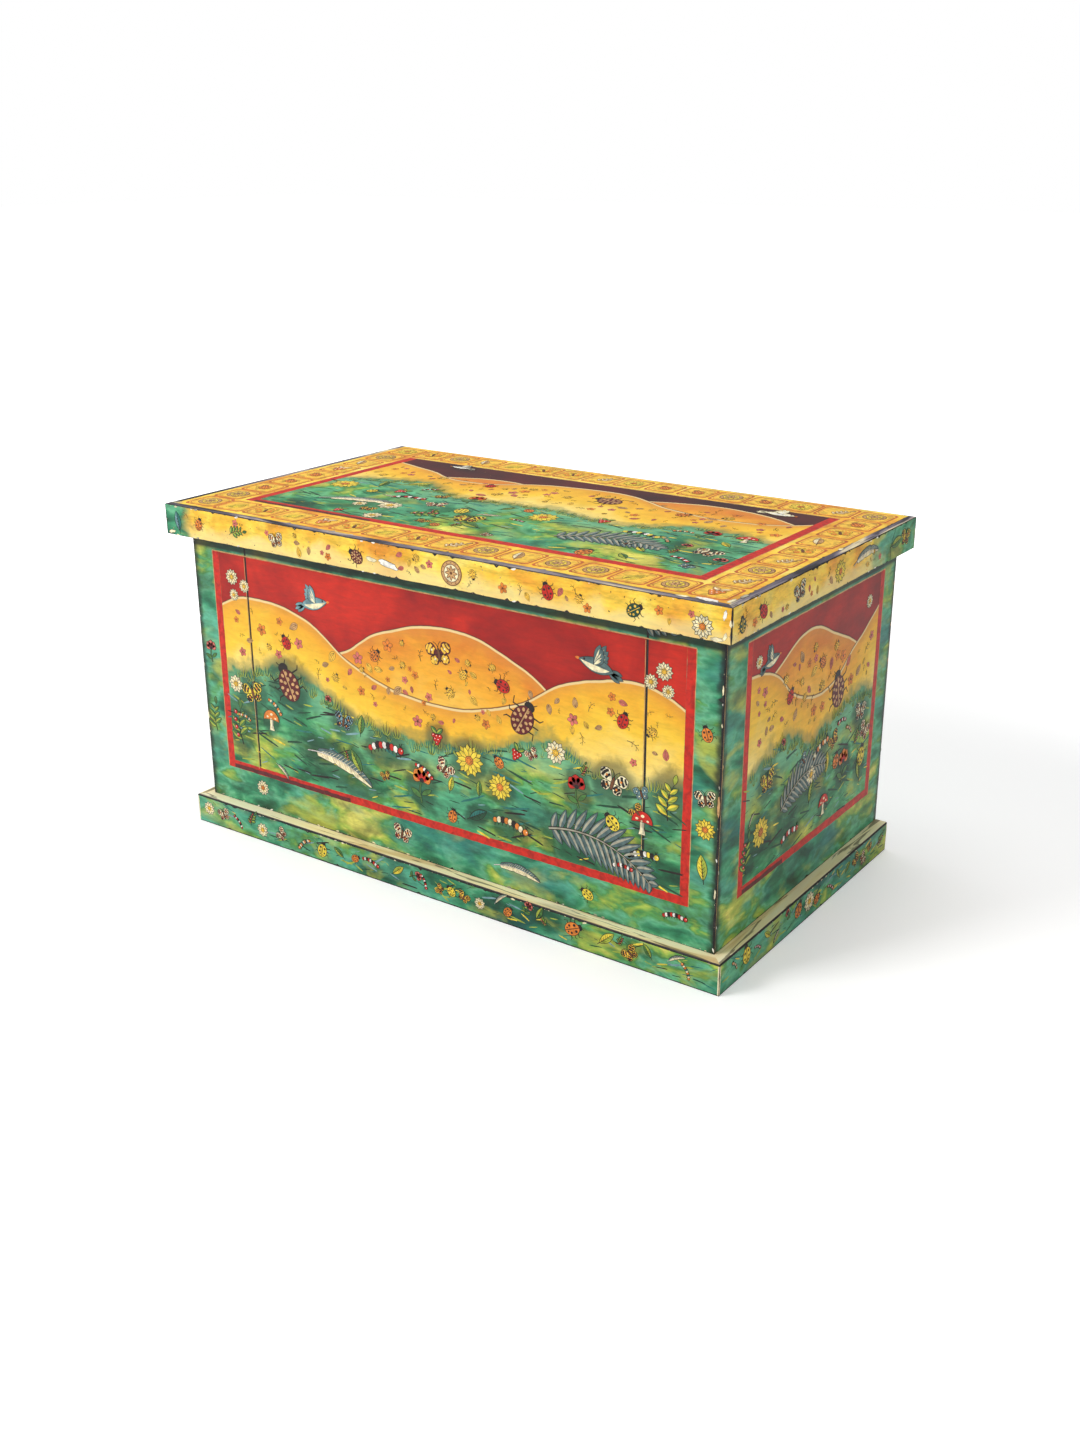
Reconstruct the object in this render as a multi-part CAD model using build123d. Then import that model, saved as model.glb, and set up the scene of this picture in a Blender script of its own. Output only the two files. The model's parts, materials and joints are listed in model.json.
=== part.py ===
"""Toy chest: a board box on a three-sided plinth, with a framed lid on butt hinges and a folding stay.

The frame is millimetres, +X to the right and +Y to the back as seen by someone in front of the
chest, +Z up. The origin is on the floor under the middle of the lid.
"""

import math
import os

from build123d import *

# overall sizes, worked out from the photograph
lid_width = 914.0
lid_depth = 521.0
overall_height = 498.0

# box boards
board = 18.0
rebate_depth = 9.0
floor_board = 12.0
floor_top = 44.0
cleat = 18.0
board_arris = 1.2
floor_play = 0.5

# plinth
plinth_height = 44.0
plinth_board = 18.0
plinth_arris = 2.0

# lid
lid_side_overhang = 20.0
lid_front_overhang = 28.0
lid_back_overhang = 8.0
lid_edge_height = 44.0
lid_edge_board = 18.0
lid_panel = 18.0
lid_arris = 1.5
rim_gap = 3.0

# butt hinges
hinge_length = 50.0
hinge_leaf = 1.6
hinge_pin_radius = 1.5
hinge_pin_play = 0.05
hinge_leaf_reach = 19.0
hinge_knuckles = 5
knuckle_play = 0.25
barrel_stand_off = 0.3
barrel_notch_play = 0.4
mortise_play = 0.15
hinge_inset = 290.0
hinge_pin_head = 0.8

# wood screws
screw_radius = 1.7
screw_head_radius = 3.4
screw_head_depth = 1.3
screw_length = 14.0
hinge_screw_pitch = 15.0
hinge_screw_row = 10.5

# folding stay on the right-hand side
lid_open_angle = 98.0
stay_strip = 2.5
stay_half_width = 7.0
stay_eye_radius = 8.5
stay_plane_gap = 0.5
stay_plate = 2.0
stay_plate_width = 26.0
stay_plate_height = 56.0
stay_plate_corner = 5.0
stay_lid_pivot_forward = 179.2
stay_lid_pivot_drop = 17.0
stay_wall_pivot_forward = 41.1
stay_wall_pivot_drop = 190.6
stay_rivet_radius = 3.0
stay_rivet_play = 0.05
stay_knee_play = 0.3
stay_rivet_head_radius = 5.0
stay_rivet_head = 1.6
stay_rivet_lift = 0.25
stay_ear_width = 18.0
stay_flange = 26.0
stay_flange_length = 44.0
stay_lug = 2.5
stay_lug_length = 6.0
stay_lug_reach = 14.0
stay_lug_play = 0.4
stay_tail = 5.0
stay_screw_length = 12.0

# rim bumpers
bumper_radius = 6.0
bumper_play = 0.2
bumper_inset = 60.0

# worked out from the sizes above
body_width = lid_width - 2 * lid_side_overhang
body_front = -lid_depth / 2 + lid_front_overhang
body_back = lid_depth / 2 - lid_back_overhang
body_depth = body_back - body_front
inner_right = body_width / 2 - board
inner_front = body_front + board
inner_back = body_back - board
lid_underside = overall_height - lid_panel
rim = lid_underside - rim_gap
barrel_radius = rim_gap / 2 + hinge_leaf
hinge_y = body_back + barrel_radius + barrel_stand_off
hinge_z = rim + rim_gap / 2
hinge_places = (-hinge_inset, 0.0, hinge_inset)
knuckle_length = hinge_length / hinge_knuckles
hinge_screw_places = (-hinge_screw_pitch, hinge_screw_pitch)
hinge_screw_y = hinge_y - hinge_screw_row
floor_underside = floor_top - floor_board


def block(x0, x1, y0, y1, z0, z1):
    """A board from its six limits."""
    size = (x1 - x0, y1 - y0, z1 - z0)
    return Pos((x0 + x1) / 2, (y0 + y1) / 2, (z0 + z1) / 2) * Box(*size)


def ease(part, radius, wanted):
    """Round the edges of part that wanted picks."""
    return fillet([edge for edge in part.edges() if wanted(edge)], radius)


def runs_along(edge, axis):
    """True when a straight edge runs along 'X', 'Y' or 'Z'."""
    way = edge % 0.5
    return abs(getattr(way, axis)) > 0.999


def rod(radius, length, place, way):
    """A round bar of a length, that starts at place and runs along way."""
    plane = Plane(origin=place, z_dir=way)
    return plane * Cylinder(radius, length, align=(Align.CENTER, Align.CENTER, Align.MIN))


def wood_screw(place, way, length):
    """A countersunk screw whose head lies flush at place and whose shank runs along way."""
    outline = Polyline(
        (0, 0),
        (screw_head_radius, 0),
        (screw_radius, screw_head_depth),
        (screw_radius, length),
        (0, length),
        close=True,
    )
    turned = revolve(make_face(Plane.XZ * outline), Axis.Z)
    return Plane(origin=place, z_dir=way) * turned


def screw_set(places, way, length=screw_length):
    """The same wood screw at several places."""
    return [wood_screw(place, way, length) for place in places]


def drill(part, screws):
    """Cut the seat of each screw out of a part."""
    for screw in screws:
        part -= screw
    return part


# screws whose seats several pieces share
def hinge_screws_down():
    """The screws that hold the wall leaves to the top of the back board."""
    spots = [(x + dx, hinge_screw_y, rim) for x in hinge_places for dx in hinge_screw_places]
    return screw_set(spots, (0, 0, -1))


def hinge_screws_up():
    """The screws that hold the lid leaves to the underside of the lid panel."""
    spots = [
        (x + dx, hinge_screw_y, lid_underside) for x in hinge_places for dx in hinge_screw_places
    ]
    return screw_set(spots, (0, 0, 1))


# stay geometry, in the plane of its arms
stay_wall_pivot = (hinge_y - stay_wall_pivot_forward, hinge_z - stay_wall_pivot_drop)
stay_lid_pivot = (hinge_y - stay_lid_pivot_forward, hinge_z - stay_lid_pivot_drop)
stay_knee = (
    stay_wall_pivot[0] - stay_lid_pivot_forward,
    stay_wall_pivot[1] - stay_lid_pivot_drop,
)
plate_x = inner_right - stay_plate
lower_arm_x = plate_x - stay_plane_gap - stay_strip
upper_arm_x = lower_arm_x - stay_plane_gap - stay_strip
ear_x = upper_arm_x + stay_strip + stay_plane_gap


def wall_plate_screws():
    """Two screws that hold the stay's wall plate to the right side board."""
    y, z = stay_wall_pivot
    reach = stay_plate_height / 2 - stay_eye_radius
    return screw_set([(plate_x, y, z + reach), (plate_x, y, z - reach)], (1, 0, 0), stay_screw_length)


def lid_bracket_screws():
    """Two screws that hold the stay's lid bracket to the underside of the lid."""
    x = ear_x - stay_flange / 2
    reach = stay_flange_length / 2 - stay_eye_radius
    z = lid_underside - stay_plate
    y = stay_lid_pivot[0]
    return screw_set([(x, y - reach, z), (x, y + reach, z)], (0, 0, 1), stay_screw_length)


# box
def hinge_mortises(z0, z1, y1, length):
    """The blocks cut away for the leaves, one at each hinge."""
    y0 = hinge_y - hinge_leaf_reach - mortise_play
    half = length / 2 + mortise_play
    return [block(x - half, x + half, y0, y1, z0, z1) for x in hinge_places]


def face_board(front):
    """The front or back board, rebated at both ends for the side boards."""
    y0, y1 = (body_front, inner_front) if front else (inner_back, body_back)
    part = block(-body_width / 2, body_width / 2, y0, y1, 0, rim)
    outer = y0 if front else y1
    part = ease(
        part, board_arris, lambda e: runs_along(e, "Z") and abs(e.center().Y - outer) < 0.01
    )
    rebate0, rebate1 = (y1 - rebate_depth, y1) if front else (y0, y0 + rebate_depth)
    for side in (-1, 1):
        x0, x1 = sorted((side * inner_right, side * (body_width / 2 + 1)))
        part -= block(x0, x1, rebate0, rebate1, -1, rim + 1)
    if not front:
        for seat in hinge_mortises(rim - hinge_leaf, rim + 1, y1 + 1, hinge_length):
            part -= seat
        part = drill(part, hinge_screws_down())
    return part


def side_board(right):
    """A side board, whose ends sit in the rebates of the front and back boards."""
    y0 = inner_front - rebate_depth
    y1 = inner_back + rebate_depth
    x0, x1 = (inner_right, body_width / 2) if right else (-body_width / 2, -inner_right)
    part = block(x0, x1, y0, y1, 0, rim)
    return drill(part, wall_plate_screws()) if right else part


def floor_cleats():
    """Four square battens that carry the floor board, by node name."""
    z0, z1 = floor_underside - cleat, floor_underside
    cleats = {}
    cleats["front_cleat"] = block(-inner_right, inner_right, inner_front, inner_front + cleat, z0, z1)
    cleats["back_cleat"] = block(-inner_right, inner_right, inner_back - cleat, inner_back, z0, z1)
    for name, side in (("left_cleat", -1), ("right_cleat", 1)):
        x0, x1 = sorted((side * inner_right, side * (inner_right - cleat)))
        cleats[name] = block(x0, x1, inner_front + cleat, inner_back - cleat, z0, z1)
    return cleats


def floor_panel():
    """The loose-fitting floor board that lies on the cleats."""
    return block(
        -inner_right + floor_play,
        inner_right - floor_play,
        inner_front + floor_play,
        inner_back - floor_play,
        floor_underside,
        floor_top,
    )


def plinth_front():
    """The front plinth board, mitred at both ends."""
    half = body_width / 2
    outline = Polyline(
        (-half, body_front),
        (half, body_front),
        (half + plinth_board, body_front - plinth_board),
        (-half - plinth_board, body_front - plinth_board),
        close=True,
    )
    part = extrude(make_face(outline), plinth_height, dir=(0, 0, 1))
    outer = body_front - plinth_board
    return ease(
        part,
        plinth_arris,
        lambda e: runs_along(e, "X")
        and abs(e.center().Y - outer) < 0.01
        and e.center().Z > plinth_height / 2,
    )


def plinth_side(right):
    """A side plinth board: mitred at the front, square and flush at the back."""
    inner = body_width / 2
    outer = inner + plinth_board
    outline = Polyline(
        (inner, body_front),
        (outer, body_front - plinth_board),
        (outer, body_back),
        (inner, body_back),
        close=True,
    )
    part = extrude(make_face(outline), plinth_height, dir=(0, 0, 1))
    part = ease(
        part,
        plinth_arris,
        lambda e: runs_along(e, "Y")
        and abs(e.center().X - outer) < 0.01
        and e.center().Z > plinth_height / 2,
    )
    return part if right else mirror(part, Plane.YZ)


# lid
def lid_board():
    """The lid's flat panel, with seats for the hinges and the stay bracket's screws."""
    half = lid_width / 2 - lid_edge_board
    back = lid_depth / 2
    part = block(
        -half, half, -lid_depth / 2 + lid_edge_board, back, lid_underside, overall_height
    )
    for seat in hinge_mortises(
        lid_underside - 1, lid_underside + hinge_leaf, back + 1, hinge_length
    ):
        part -= seat
    notch_front = hinge_y - barrel_radius - barrel_notch_play
    notch_top = hinge_z + barrel_radius + barrel_notch_play
    half_notch = hinge_length / 2 + hinge_pin_head + barrel_notch_play
    for x in hinge_places:
        part -= block(
            x - half_notch, x + half_notch, notch_front, back + 1, lid_underside - 1, notch_top
        )
    return drill(part, hinge_screws_up() + lid_bracket_screws())


def lid_front_edge():
    """The lid's front edge board, mitred at both ends and standing flush with the panel."""
    outer, inner = lid_width / 2, lid_width / 2 - lid_edge_board
    front = -lid_depth / 2
    outline = Polyline(
        (-outer, front),
        (outer, front),
        (inner, front + lid_edge_board),
        (-inner, front + lid_edge_board),
        close=True,
    )
    bottom = overall_height - lid_edge_height
    part = extrude(make_face(Pos(0, 0, bottom) * outline), lid_edge_height, dir=(0, 0, 1))
    return ease(part, lid_arris, lambda e: runs_along(e, "X") and abs(e.center().Y - front) < 0.01)


def lid_side_edge(right):
    """A side edge board of the lid: mitred at the front, square at the back."""
    outer, inner = lid_width / 2, lid_width / 2 - lid_edge_board
    front, back = -lid_depth / 2, lid_depth / 2
    outline = Polyline(
        (outer, front), (outer, back), (inner, back), (inner, front + lid_edge_board), close=True
    )
    bottom = overall_height - lid_edge_height
    part = extrude(make_face(Pos(0, 0, bottom) * outline), lid_edge_height, dir=(0, 0, 1))
    part = ease(
        part, lid_arris, lambda e: runs_along(e, "Y") and abs(e.center().X - outer) < 0.01
    )
    return part if right else mirror(part, Plane.YZ)


# hinges
def hinge_leaf_body(x, on_lid):
    """One leaf with its knuckles round the pin line; the two leaves share the barrel by turns."""
    z0, z1 = (
        (lid_underside, lid_underside + hinge_leaf) if on_lid else (rim - hinge_leaf, rim)
    )
    clear = hinge_y - barrel_radius - barrel_stand_off
    left = x - hinge_length / 2
    part = block(left, left + hinge_length, hinge_y - hinge_leaf_reach, clear, z0, z1)
    bore = hinge_pin_radius + hinge_pin_play
    for n in range(1 if on_lid else 0, hinge_knuckles, 2):
        k0 = left + n * knuckle_length + (knuckle_play if n else 0)
        k1 = left + (n + 1) * knuckle_length - (knuckle_play if n < hinge_knuckles - 1 else 0)
        wrap = rod(barrel_radius, k1 - k0, (k0, hinge_y, hinge_z), (1, 0, 0))
        wrap += block(k0, k1, hinge_y - hinge_leaf_reach, hinge_y, z0, z1)
        part += wrap - rod(bore, k1 - k0, (k0, hinge_y, hinge_z), (1, 0, 0))
    return drill(part, hinge_screws_up() if on_lid else hinge_screws_down())


def hinge_pin(x):
    """A hinge pin with a low round head at each end of the barrel."""
    left = x - hinge_length / 2
    part = rod(hinge_pin_radius, hinge_length, (left, hinge_y, hinge_z), (1, 0, 0))
    cap = hinge_pin_radius + hinge_leaf / 2
    part += rod(cap, hinge_pin_head, (left - hinge_pin_head, hinge_y, hinge_z), (1, 0, 0))
    return part + rod(cap, hinge_pin_head, (left + hinge_length, hinge_y, hinge_z), (1, 0, 0))


# folding stay, drawn in a plane whose two axes are the chest's Y and Z
def stay_sheet(outline, x, thickness):
    """A flat piece of the stay, cut to an outline, from the plane x to the right."""
    plane = Plane(origin=(x, 0, 0), x_dir=(0, 1, 0), z_dir=(1, 0, 0))
    return extrude(plane * outline, thickness, dir=(1, 0, 0))


def strip(start, end, width):
    """The outline of a strip between two places."""
    turn = math.degrees(math.atan2(end[1] - start[1], end[0] - start[0]))
    centre = Pos((start[0] + end[0]) / 2, (start[1] + end[1]) / 2)
    return centre * Rot(0, 0, turn) * Rectangle(math.dist(start, end), width)


def disc(place, radius):
    """The outline of a round eye or hole at a place."""
    return Pos(*place) * Circle(radius)


def arm_outline(start, end):
    """The outline of an arm with a round eye at each end."""
    outline = strip(start, end, 2 * stay_half_width)
    return outline + disc(start, stay_eye_radius) + disc(end, stay_eye_radius)


def upper_arm():
    """The arm from the lid to the knee, with a lug that stops the knee at the fully open lid."""
    wall_way = (stay_wall_pivot[0] - stay_knee[0], stay_wall_pivot[1] - stay_knee[1])
    stopped = math.atan2(wall_way[1], wall_way[0]) - math.radians(lid_open_angle)
    along = (math.cos(stopped), math.sin(stopped))
    side = stay_half_width + stay_lug_play + stay_lug / 2
    foot = (
        stay_knee[0] + stay_lug_reach * along[0] + side * along[1],
        stay_knee[1] + stay_lug_reach * along[1] - side * along[0],
    )
    tip = (foot[0] + stay_lug_length * along[0], foot[1] + stay_lug_length * along[1])
    lug = strip(foot, tip, stay_lug)
    outline = arm_outline(stay_knee, stay_lid_pivot) + strip(stay_knee, tip, stay_tail) + lug
    outline -= disc(stay_knee, stay_rivet_radius + stay_knee_play)
    outline -= disc(stay_lid_pivot, stay_rivet_radius + stay_rivet_play)
    stop_thickness = 2 * stay_strip + stay_plane_gap
    return stay_sheet(outline, upper_arm_x, stay_strip) + stay_sheet(lug, upper_arm_x, stop_thickness)


def lower_arm():
    """The arm from the wall plate to the knee."""
    outline = arm_outline(stay_wall_pivot, stay_knee)
    outline -= disc(stay_wall_pivot, stay_rivet_radius + stay_rivet_play)
    outline -= disc(stay_knee, stay_rivet_radius)
    return stay_sheet(outline, lower_arm_x, stay_strip)


def rivet(place, x0, x1):
    """A rivet at a pivot, between two planes, with a low round head on its left."""
    shank = stay_sheet(disc(place, stay_rivet_radius), x0, x1 - x0)
    return shank + stay_sheet(disc(place, stay_rivet_head_radius), x0 - stay_rivet_head, stay_rivet_head)


def wall_plate():
    """The stay's plate on the right side board."""
    outline = Pos(*stay_wall_pivot) * RectangleRounded(stay_plate_width, stay_plate_height, stay_plate_corner)
    outline -= disc(stay_wall_pivot, stay_rivet_radius)
    return drill(stay_sheet(outline, plate_x, stay_plate), wall_plate_screws())


def lid_bracket():
    """The stay's angle bracket: a flange under the lid and an ear that carries the pivot."""
    y, z = stay_lid_pivot
    half = stay_flange_length / 2
    x1 = ear_x + stay_plate
    flange = block(x1 - stay_flange, x1, y - half, y + half, lid_underside - stay_plate, lid_underside)
    ear = strip((y, z), (y, lid_underside), stay_ear_width) + disc((y, z), stay_ear_width / 2)
    ear -= disc((y, z), stay_rivet_radius)
    return drill(flange + stay_sheet(ear, ear_x, stay_plate), lid_bracket_screws())


# rim bumpers
def bumpers():
    """Two felt discs on the top of the front board, where the closed lid rests."""
    y = (body_front + inner_front) / 2
    x = body_width / 2 - bumper_inset
    return [rod(bumper_radius, rim_gap - bumper_play, (s * x, y, rim), (0, 0, 1)) for s in (-1, 1)]


def make_all():
    """Every node of the chest, by name."""
    nodes = {
        "front_board": face_board(True),
        "back_board": face_board(False),
        "left_side_board": side_board(False),
        "right_side_board": side_board(True),
        "floor_board": floor_panel(),
        **floor_cleats(),
        "plinth_front": plinth_front(),
        "plinth_left": plinth_side(False),
        "plinth_right": plinth_side(True),
        "lid_panel": lid_board(),
        "lid_front_edge": lid_front_edge(),
        "lid_left_edge": lid_side_edge(False),
        "lid_right_edge": lid_side_edge(True),
    }
    for name, x in zip(("left", "centre", "right"), hinge_places):
        nodes[f"{name}_hinge_wall_leaf"] = hinge_leaf_body(x, False)
        nodes[f"{name}_hinge_lid_leaf"] = hinge_leaf_body(x, True)
        nodes[f"{name}_hinge_pin"] = hinge_pin(x)
    nodes["hinge_wall_screws"] = Compound(children=hinge_screws_down())
    nodes["hinge_lid_screws"] = Compound(children=hinge_screws_up())
    nodes["stay_wall_plate"] = wall_plate()
    nodes["stay_wall_screws"] = Compound(children=wall_plate_screws())
    nodes["stay_wall_rivet"] = rivet(stay_wall_pivot, lower_arm_x - stay_rivet_lift, inner_right)
    nodes["stay_lower_arm"] = lower_arm()
    nodes["stay_knee_rivet"] = rivet(
        stay_knee, upper_arm_x - stay_rivet_lift, lower_arm_x + stay_strip
    )
    nodes["stay_upper_arm"] = upper_arm()
    nodes["stay_lid_rivet"] = rivet(stay_lid_pivot, upper_arm_x - stay_rivet_lift, ear_x + stay_plate)
    nodes["stay_lid_bracket"] = lid_bracket()
    nodes["stay_lid_screws"] = Compound(children=lid_bracket_screws())
    nodes["rim_bumpers"] = Compound(children=bumpers())
    return nodes


os.makedirs("parts", exist_ok=True)
for name, shape in make_all().items():
    export_step(shape, f"parts/{name}.step")
    print(name, round(shape.volume))
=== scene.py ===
"""Looks of a decorated toy chest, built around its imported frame.

Everything is in metres, in the frame's own axes: +X to the right and +Y to the back as seen by
someone in front of the chest, +Z up. The boards, hinges and stay are the frame's own solids with
painted finishes. The decoration is thin pasted sheets that lie on the boards, with a garden picture
cut out of flat layers of ink on top of them.
"""

from __future__ import annotations

import json
import logging
import random
from dataclasses import dataclass
from enum import Enum
from functools import partial
from math import atan2, cos, degrees, dist, pi, radians, sin, tau
from typing import Callable, Iterable, Protocol, Sequence

import bmesh
import bpy
from mathutils import Matrix, Vector

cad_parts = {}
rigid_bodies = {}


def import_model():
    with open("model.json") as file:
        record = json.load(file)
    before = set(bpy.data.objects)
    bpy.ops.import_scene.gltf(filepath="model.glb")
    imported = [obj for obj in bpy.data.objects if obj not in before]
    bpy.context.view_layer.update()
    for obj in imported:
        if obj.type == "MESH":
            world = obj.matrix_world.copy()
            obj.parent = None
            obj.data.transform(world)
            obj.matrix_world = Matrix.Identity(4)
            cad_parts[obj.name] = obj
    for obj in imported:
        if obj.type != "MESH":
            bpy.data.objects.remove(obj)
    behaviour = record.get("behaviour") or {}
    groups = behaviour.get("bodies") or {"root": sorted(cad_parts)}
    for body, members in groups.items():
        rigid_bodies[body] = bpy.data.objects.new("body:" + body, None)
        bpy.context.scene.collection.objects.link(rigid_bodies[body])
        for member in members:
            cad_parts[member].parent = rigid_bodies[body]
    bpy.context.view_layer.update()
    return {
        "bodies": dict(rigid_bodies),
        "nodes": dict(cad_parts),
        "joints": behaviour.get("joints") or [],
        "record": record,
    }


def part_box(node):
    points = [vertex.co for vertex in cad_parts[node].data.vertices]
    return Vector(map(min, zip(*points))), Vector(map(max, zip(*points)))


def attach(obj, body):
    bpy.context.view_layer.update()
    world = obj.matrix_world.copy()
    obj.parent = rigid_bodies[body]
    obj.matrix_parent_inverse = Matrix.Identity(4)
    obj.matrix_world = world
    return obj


log = logging.getLogger("toy_chest")

Point = tuple[float, float]
Outline = list[Point]
Colour = tuple[float, float, float]
Socket, Node, Thing, Finish = bpy.types.NodeSocket, bpy.types.Node, bpy.types.Object, bpy.types.Material

MILLIMETRE = 0.001
TO_MILLIMETRES = 1000
SHEET = 0.00025
INK_LAYER = 0.00009
LINE = 0.0007
INK_ATTRIBUTE = "ink"
NICKS = 0.04
PAPER_STEP = 0.004
CLEARANCE = 0.48
TRIES = 30
RIGHTWARD, BACKWARD, UPWARD = Vector((1, 0, 0)), Vector((0, 1, 0)), Vector((0, 0, 1))


def linear(red: int, green: int, blue: int) -> Colour:
    """Turn a screen colour of 0 to 255 into linear light.

    Args:
        red: Red part.
        green: Green part.
        blue: Blue part.

    Returns:
        The colour in linear light.
    """

    def part(value: int) -> float:
        """One part in linear light."""
        share = value / 255
        return share / 12.92 if share <= 0.04045 else ((share + 0.055) / 1.055) ** 2.4

    return part(red), part(green), part(blue)


def add_node(tree: bpy.types.NodeTree, kind: str, inputs: dict | None = None, **settings: object) -> Node:
    """Add a node to a tree.

    Args:
        tree: The tree.
        kind: The node's type.
        inputs: Sockets to link or values to set, by name or place.
        settings: The node's own properties.

    Returns:
        The node.
    """
    node = tree.nodes.new(kind)
    for name, value in settings.items():
        setattr(node, name, value)
    for key, value in (inputs or {}).items():
        socket = node.inputs[key]
        if isinstance(value, Socket):
            tree.links.new(value, socket)
        elif socket.type == "RGBA" and len(value) == 3:
            socket.default_value = (*value, 1.0)
        else:
            socket.default_value = value
    return node


def stand(name: str, data: bpy.types.ID) -> Thing:
    """Put an object with this data in the scene.

    Args:
        name: The object's name.
        data: Its mesh, light or camera.

    Returns:
        The object.
    """
    thing = bpy.data.objects.new(name, data)
    bpy.context.scene.collection.objects.link(thing)
    return thing


class Ink(Enum):
    """The flat colours of the printed picture and of its wear."""

    DARK = (34, 26, 24)
    BROWN = (112, 66, 36)
    TAN = (206, 160, 104)
    CREAM = (244, 232, 190)
    WHITE = (246, 242, 232)
    RED = (200, 34, 18)
    MAROON = (96, 26, 30)
    ROSE = (214, 112, 98)
    ORANGE = (226, 130, 44)
    RUST = (196, 96, 40)
    GOLD = (246, 196, 66)
    YELLOW = (242, 214, 66)
    LIME = (166, 178, 62)
    LEAF = (74, 122, 58)
    DEEP_LEAF = (30, 72, 50)
    TEAL = (38, 112, 104)
    SKY = (120, 158, 164)
    SLATE = (84, 108, 108)
    STONE = (170, 166, 146)

    @property
    def light(self) -> Colour:
        """The ink in linear light."""
        return linear(*self.value)


@dataclass(frozen=True)
class Face:
    """A flat side of the chest, with its own two drawing axes, its material slot and its body.

    The drawing runs along right and up, and normal points off the board towards the viewer.
    """

    origin: Vector
    right: Vector
    up: Vector
    slot: str = ""
    body: str = "chest"

    @property
    def normal(self) -> Vector:
        """The way off the board."""
        return self.right.cross(self.up)

    def at(self, u: float, v: float, lift: float = 0.0) -> Vector:
        """The place of a drawing point."""
        return self.origin + self.right * u + self.up * v + self.normal * lift


@dataclass(frozen=True)
class Panel:
    """A rectangle on a face."""

    left: float
    right: float
    bottom: float
    top: float

    @property
    def width(self) -> float:
        """Its width."""
        return self.right - self.left

    @property
    def height(self) -> float:
        """Its height."""
        return self.top - self.bottom

    @property
    def corners(self) -> Outline:
        """Its corners, counter-clockwise."""
        low, high = self.bottom, self.top
        return [(self.left, low), (self.right, low), (self.right, high), (self.left, high)]

    @property
    def millimetres(self) -> Panel:
        """The same rectangle in millimetres."""
        return Panel(*(side * TO_MILLIMETRES for side in (self.left, self.right, self.bottom, self.top)))

    def shrunk(self, margin: float) -> Panel:
        """A rectangle whose four sides have all moved in by as much."""
        return self.inset(margin, margin, margin, margin)

    def inset(self, left: float, right: float, bottom: float, top: float) -> Panel:
        """A rectangle whose four sides have moved in."""
        return Panel(self.left + left, self.right - right, self.bottom + bottom, self.top - top)


class Side(Enum):
    """The ways that a decorated face looks: the axis that it stands on and its two drawing axes."""

    FRONT = ((0, 1, 0), (1, 0, 0), (0, 0, 1))
    BACK = ((0, 1, 0), (-1, 0, 0), (0, 0, 1))
    RIGHT = ((1, 0, 0), (0, 1, 0), (0, 0, 1))
    LEFT = ((1, 0, 0), (0, -1, 0), (0, 0, 1))
    TOP = ((0, 0, 1), (1, 0, 0), (0, 1, 0))

    def of(self, node: str, slot: str, body: str = "chest") -> tuple[Face, Panel]:
        """The outer face of a board, and the board's rectangle on it.

        Args:
            node: The board's name in the frame.
            slot: The record's material slot.
            body: The body that rides there.

        Returns:
            The face and the rectangle.
        """
        axis, right, up = (Vector(part) for part in self.value)
        low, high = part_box(node)
        outer = high if max(right.cross(up)) > 0.5 else low
        across, upward = (sorted((low.dot(way), high.dot(way))) for way in (right, up))
        return Face(axis * outer.dot(axis), right, up, slot, body), Panel(*across, *upward)


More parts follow.
